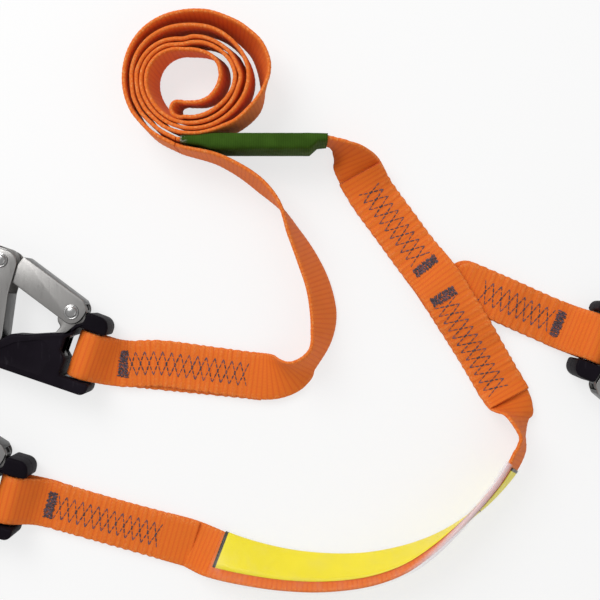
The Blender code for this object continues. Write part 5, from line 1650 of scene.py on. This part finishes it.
def hook_meshes():
    """Mesh, slot and material of each piece of a hook, in the hook's own plan."""
    settings = bpy.context.scene.tether_hooks
    steel = metal_material("stamped_steel", settings.steel_colour, 0.28, 0.42)
    bright = metal_material("bright_steel", settings.bright_colour, 0.18, 0.30)
    nylon = grip_material()
    bracket = channel_mesh("bracket", BRACKET_OUTLINE, BRACKET_HOLLOW, BRACKET_INSIDE, BRACKET_OUTSIDE,
                           (GATE_PIVOT, BRACKET_PIN), rim=0.8)
    return {
        "frame": (frame_mesh(), "steel", steel),
        "grip_upper": (grip_mesh(True), "black_nylon", nylon),
        "grip_lower": (grip_mesh(False), "black_nylon", nylon),
        "eye_pin": (pin_mesh("eye_pin", EYE_PIN_RADIUS, EYE_PIN_HALF, axis="Y"), "steel", bright),
        "eye_bush": (bush_mesh(), "steel", bright),
        "gate_bracket": (bracket, "steel", steel),
        "bracket_pin": (pin_mesh("pin", RIVET_RADIUS, BRACKET_OUTSIDE, BRACKET_PIN), "steel", bright),
        "gate_rivet": (rivet_mesh(BRACKET_OUTSIDE, GATE_PIVOT), "steel", bright),
        "lever_rivet": (rivet_mesh(CHANNEL_OUTSIDE, LEVER_PIVOT), "steel", bright),
        "gate": (gate_mesh(), "steel", steel),
        "lock_lever": (lever_mesh(), "steel", steel),
        "gate_spring": (spring_mesh(3.4, GATE_COIL, 8.0, 9.0, GATE_PIVOT), "spring_steel", bright),
        "lever_spring": (spring_mesh(1.4, LEVER_COIL, 5.4, 7.0, LEVER_PIVOT), "spring_steel", bright),
    }


def make_hooks():
    """Every piece of every hook, in its place."""
    for kind, (mesh, slot, material) in hook_meshes().items():
        shade_plates(mesh)
        for hook in HOOK_PLACES:
            copy = mesh.copy()
            copy.transform(hook_matrix(hook))
            node = f"{hook}_{kind}"
            finished_piece(node + "_finish", copy, slot, material, node)


def make_camera():
    """Camera straight above the plan's middle, covering the photograph's width."""
    data = bpy.data.cameras.new("photo_camera")
    data.sensor_width = SENSOR
    data.lens = SENSOR * CAMERA_HEIGHT / VIEW_WIDTH_ON_FLOOR
    data.clip_start = 0.01
    camera = linked("photo_camera", data)
    camera.location = (Vector((0.0, 0.0, CAMERA_HEIGHT)) - PLAN_CENTRE) * MM
    bpy.context.scene.camera = camera


def make_lamp(name, place, size, power):
    """Square area lamp aimed at the middle of the object."""
    data = bpy.data.lights.new(name, "AREA")
    data.size = size
    data.energy = power
    lamp = linked(name, data)
    lamp.location = place
    lamp.rotation_euler = (-Vector(place)).to_track_quat("-Z", "Y").to_euler()


def make_stage():
    """Camera, soft lamps, pale surroundings and floor."""
    scene = bpy.context.scene
    settings = scene.tether_stage
    make_camera()
    make_lamp("key_lamp", KEY_PLACE, KEY_SIZE, settings.key_power)
    make_lamp("fill_lamp", FILL_PLACE, FILL_SIZE, settings.fill_power)
    world = bpy.data.worlds.new("pale_surroundings")
    world.use_nodes = True
    sky = world.node_tree.nodes["Background"]
    sky.inputs["Color"].default_value = (1.0, 1.0, 1.0, 1.0)
    sky.inputs["Strength"].default_value = settings.sky_level
    scene.world = world
    scene.view_settings.view_transform = "Standard"
    bm = bmesh.new()
    bmesh.ops.create_grid(bm, x_segments=8, y_segments=8, size=FLOOR_SIZE / 2)
    bmesh.ops.translate(bm, verts=bm.verts, vec=(0.0, 0.0, -settings.floor_drop))
    floor = linked("pale_floor", mesh_from(bm, "pale_floor", smooth=True))
    floor.data.materials.append(floor_material())


class TetherStep:
    """What the operators share: each one builds its own group of pieces."""

    def execute(self, context):
        self.build()
        return {"FINISHED"}


class TETHER_OT_straps(TetherStep, bpy.types.Operator):
    """Weave the straps along their routes."""

    bl_idname = "tether.straps"
    bl_label = "Straps"
    build = staticmethod(make_straps)


class TETHER_OT_sewing(TetherStep, bpy.types.Operator):
    """Sew the zigzag seams and bar tacks."""

    bl_idname = "tether.sewing"
    bl_label = "Sewing"
    build = staticmethod(make_sewing)


class TETHER_OT_cover(TetherStep, bpy.types.Operator):
    """Wrap the green overload cover round the folded strap."""

    bl_idname = "tether.cover"
    bl_label = "Overload cover"
    build = staticmethod(make_cover)


class TETHER_OT_label(TetherStep, bpy.types.Operator):
    """Fold the bare yellow label round the strap, under clear film."""

    bl_idname = "tether.label"
    bl_label = "Label"
    build = staticmethod(make_label)


class TETHER_OT_hooks(TetherStep, bpy.types.Operator):
    """Build the three hooks piece by piece."""

    bl_idname = "tether.hooks"
    bl_label = "Hooks"
    build = staticmethod(make_hooks)


class TETHER_OT_stage(TetherStep, bpy.types.Operator):
    """Set up the camera, lamps and floor."""

    bl_idname = "tether.stage"
    bl_label = "Stage"
    build = staticmethod(make_stage)


class TETHER_PT_panel(bpy.types.Panel):
    """Settings of the tether, each with the button that builds it."""

    bl_idname = "TETHER_PT_panel"
    bl_label = "Tether"
    bl_space_type = "VIEW_3D"
    bl_region_type = "UI"
    bl_category = "Tether"

    def draw(self, context):
        scene = context.scene
        sections = (
            (scene.tether_webbing, ("tether.straps",)),
            (scene.tether_sewing, ("tether.sewing",)),
            (scene.tether_trim, ("tether.cover", "tether.label")),
            (scene.tether_hooks, ("tether.hooks",)),
            (scene.tether_stage, ("tether.stage",)),
        )
        for settings, operators in sections:
            box = self.layout.box()
            for name in settings.bl_rna.properties.keys():
                if name not in ("rna_type", "name"):
                    box.prop(settings, name)
            for operator in operators:
                box.operator(operator)


GROUPS = {
    "tether_webbing": TetherWebbing,
    "tether_sewing": TetherSewing,
    "tether_trim": TetherTrim,
    "tether_hooks": TetherHooks,
    "tether_stage": TetherStage,
}
OPERATORS = (
    TETHER_OT_straps, TETHER_OT_sewing, TETHER_OT_cover, TETHER_OT_label, TETHER_OT_hooks, TETHER_OT_stage,
)


def register():
    """Register the settings, operators and panel."""
    for name, group in GROUPS.items():
        bpy.utils.register_class(group)
        setattr(bpy.types.Scene, name, PointerProperty(type=group))
    for operator in OPERATORS:
        bpy.utils.register_class(operator)
    bpy.utils.register_class(TETHER_PT_panel)


def unregister():
    """Undo register."""
    bpy.utils.unregister_class(TETHER_PT_panel)
    for operator in reversed(OPERATORS):
        bpy.utils.unregister_class(operator)
    for name, group in reversed(GROUPS.items()):
        delattr(bpy.types.Scene, name)
        bpy.utils.unregister_class(group)


def main():
    """Build everything."""
    register()
    bpy.ops.tether.stage()
    bpy.ops.tether.straps()
    bpy.ops.tether.sewing()
    bpy.ops.tether.cover()
    bpy.ops.tether.label()
    bpy.ops.tether.hooks()


if __name__ == "__main__":
    main()
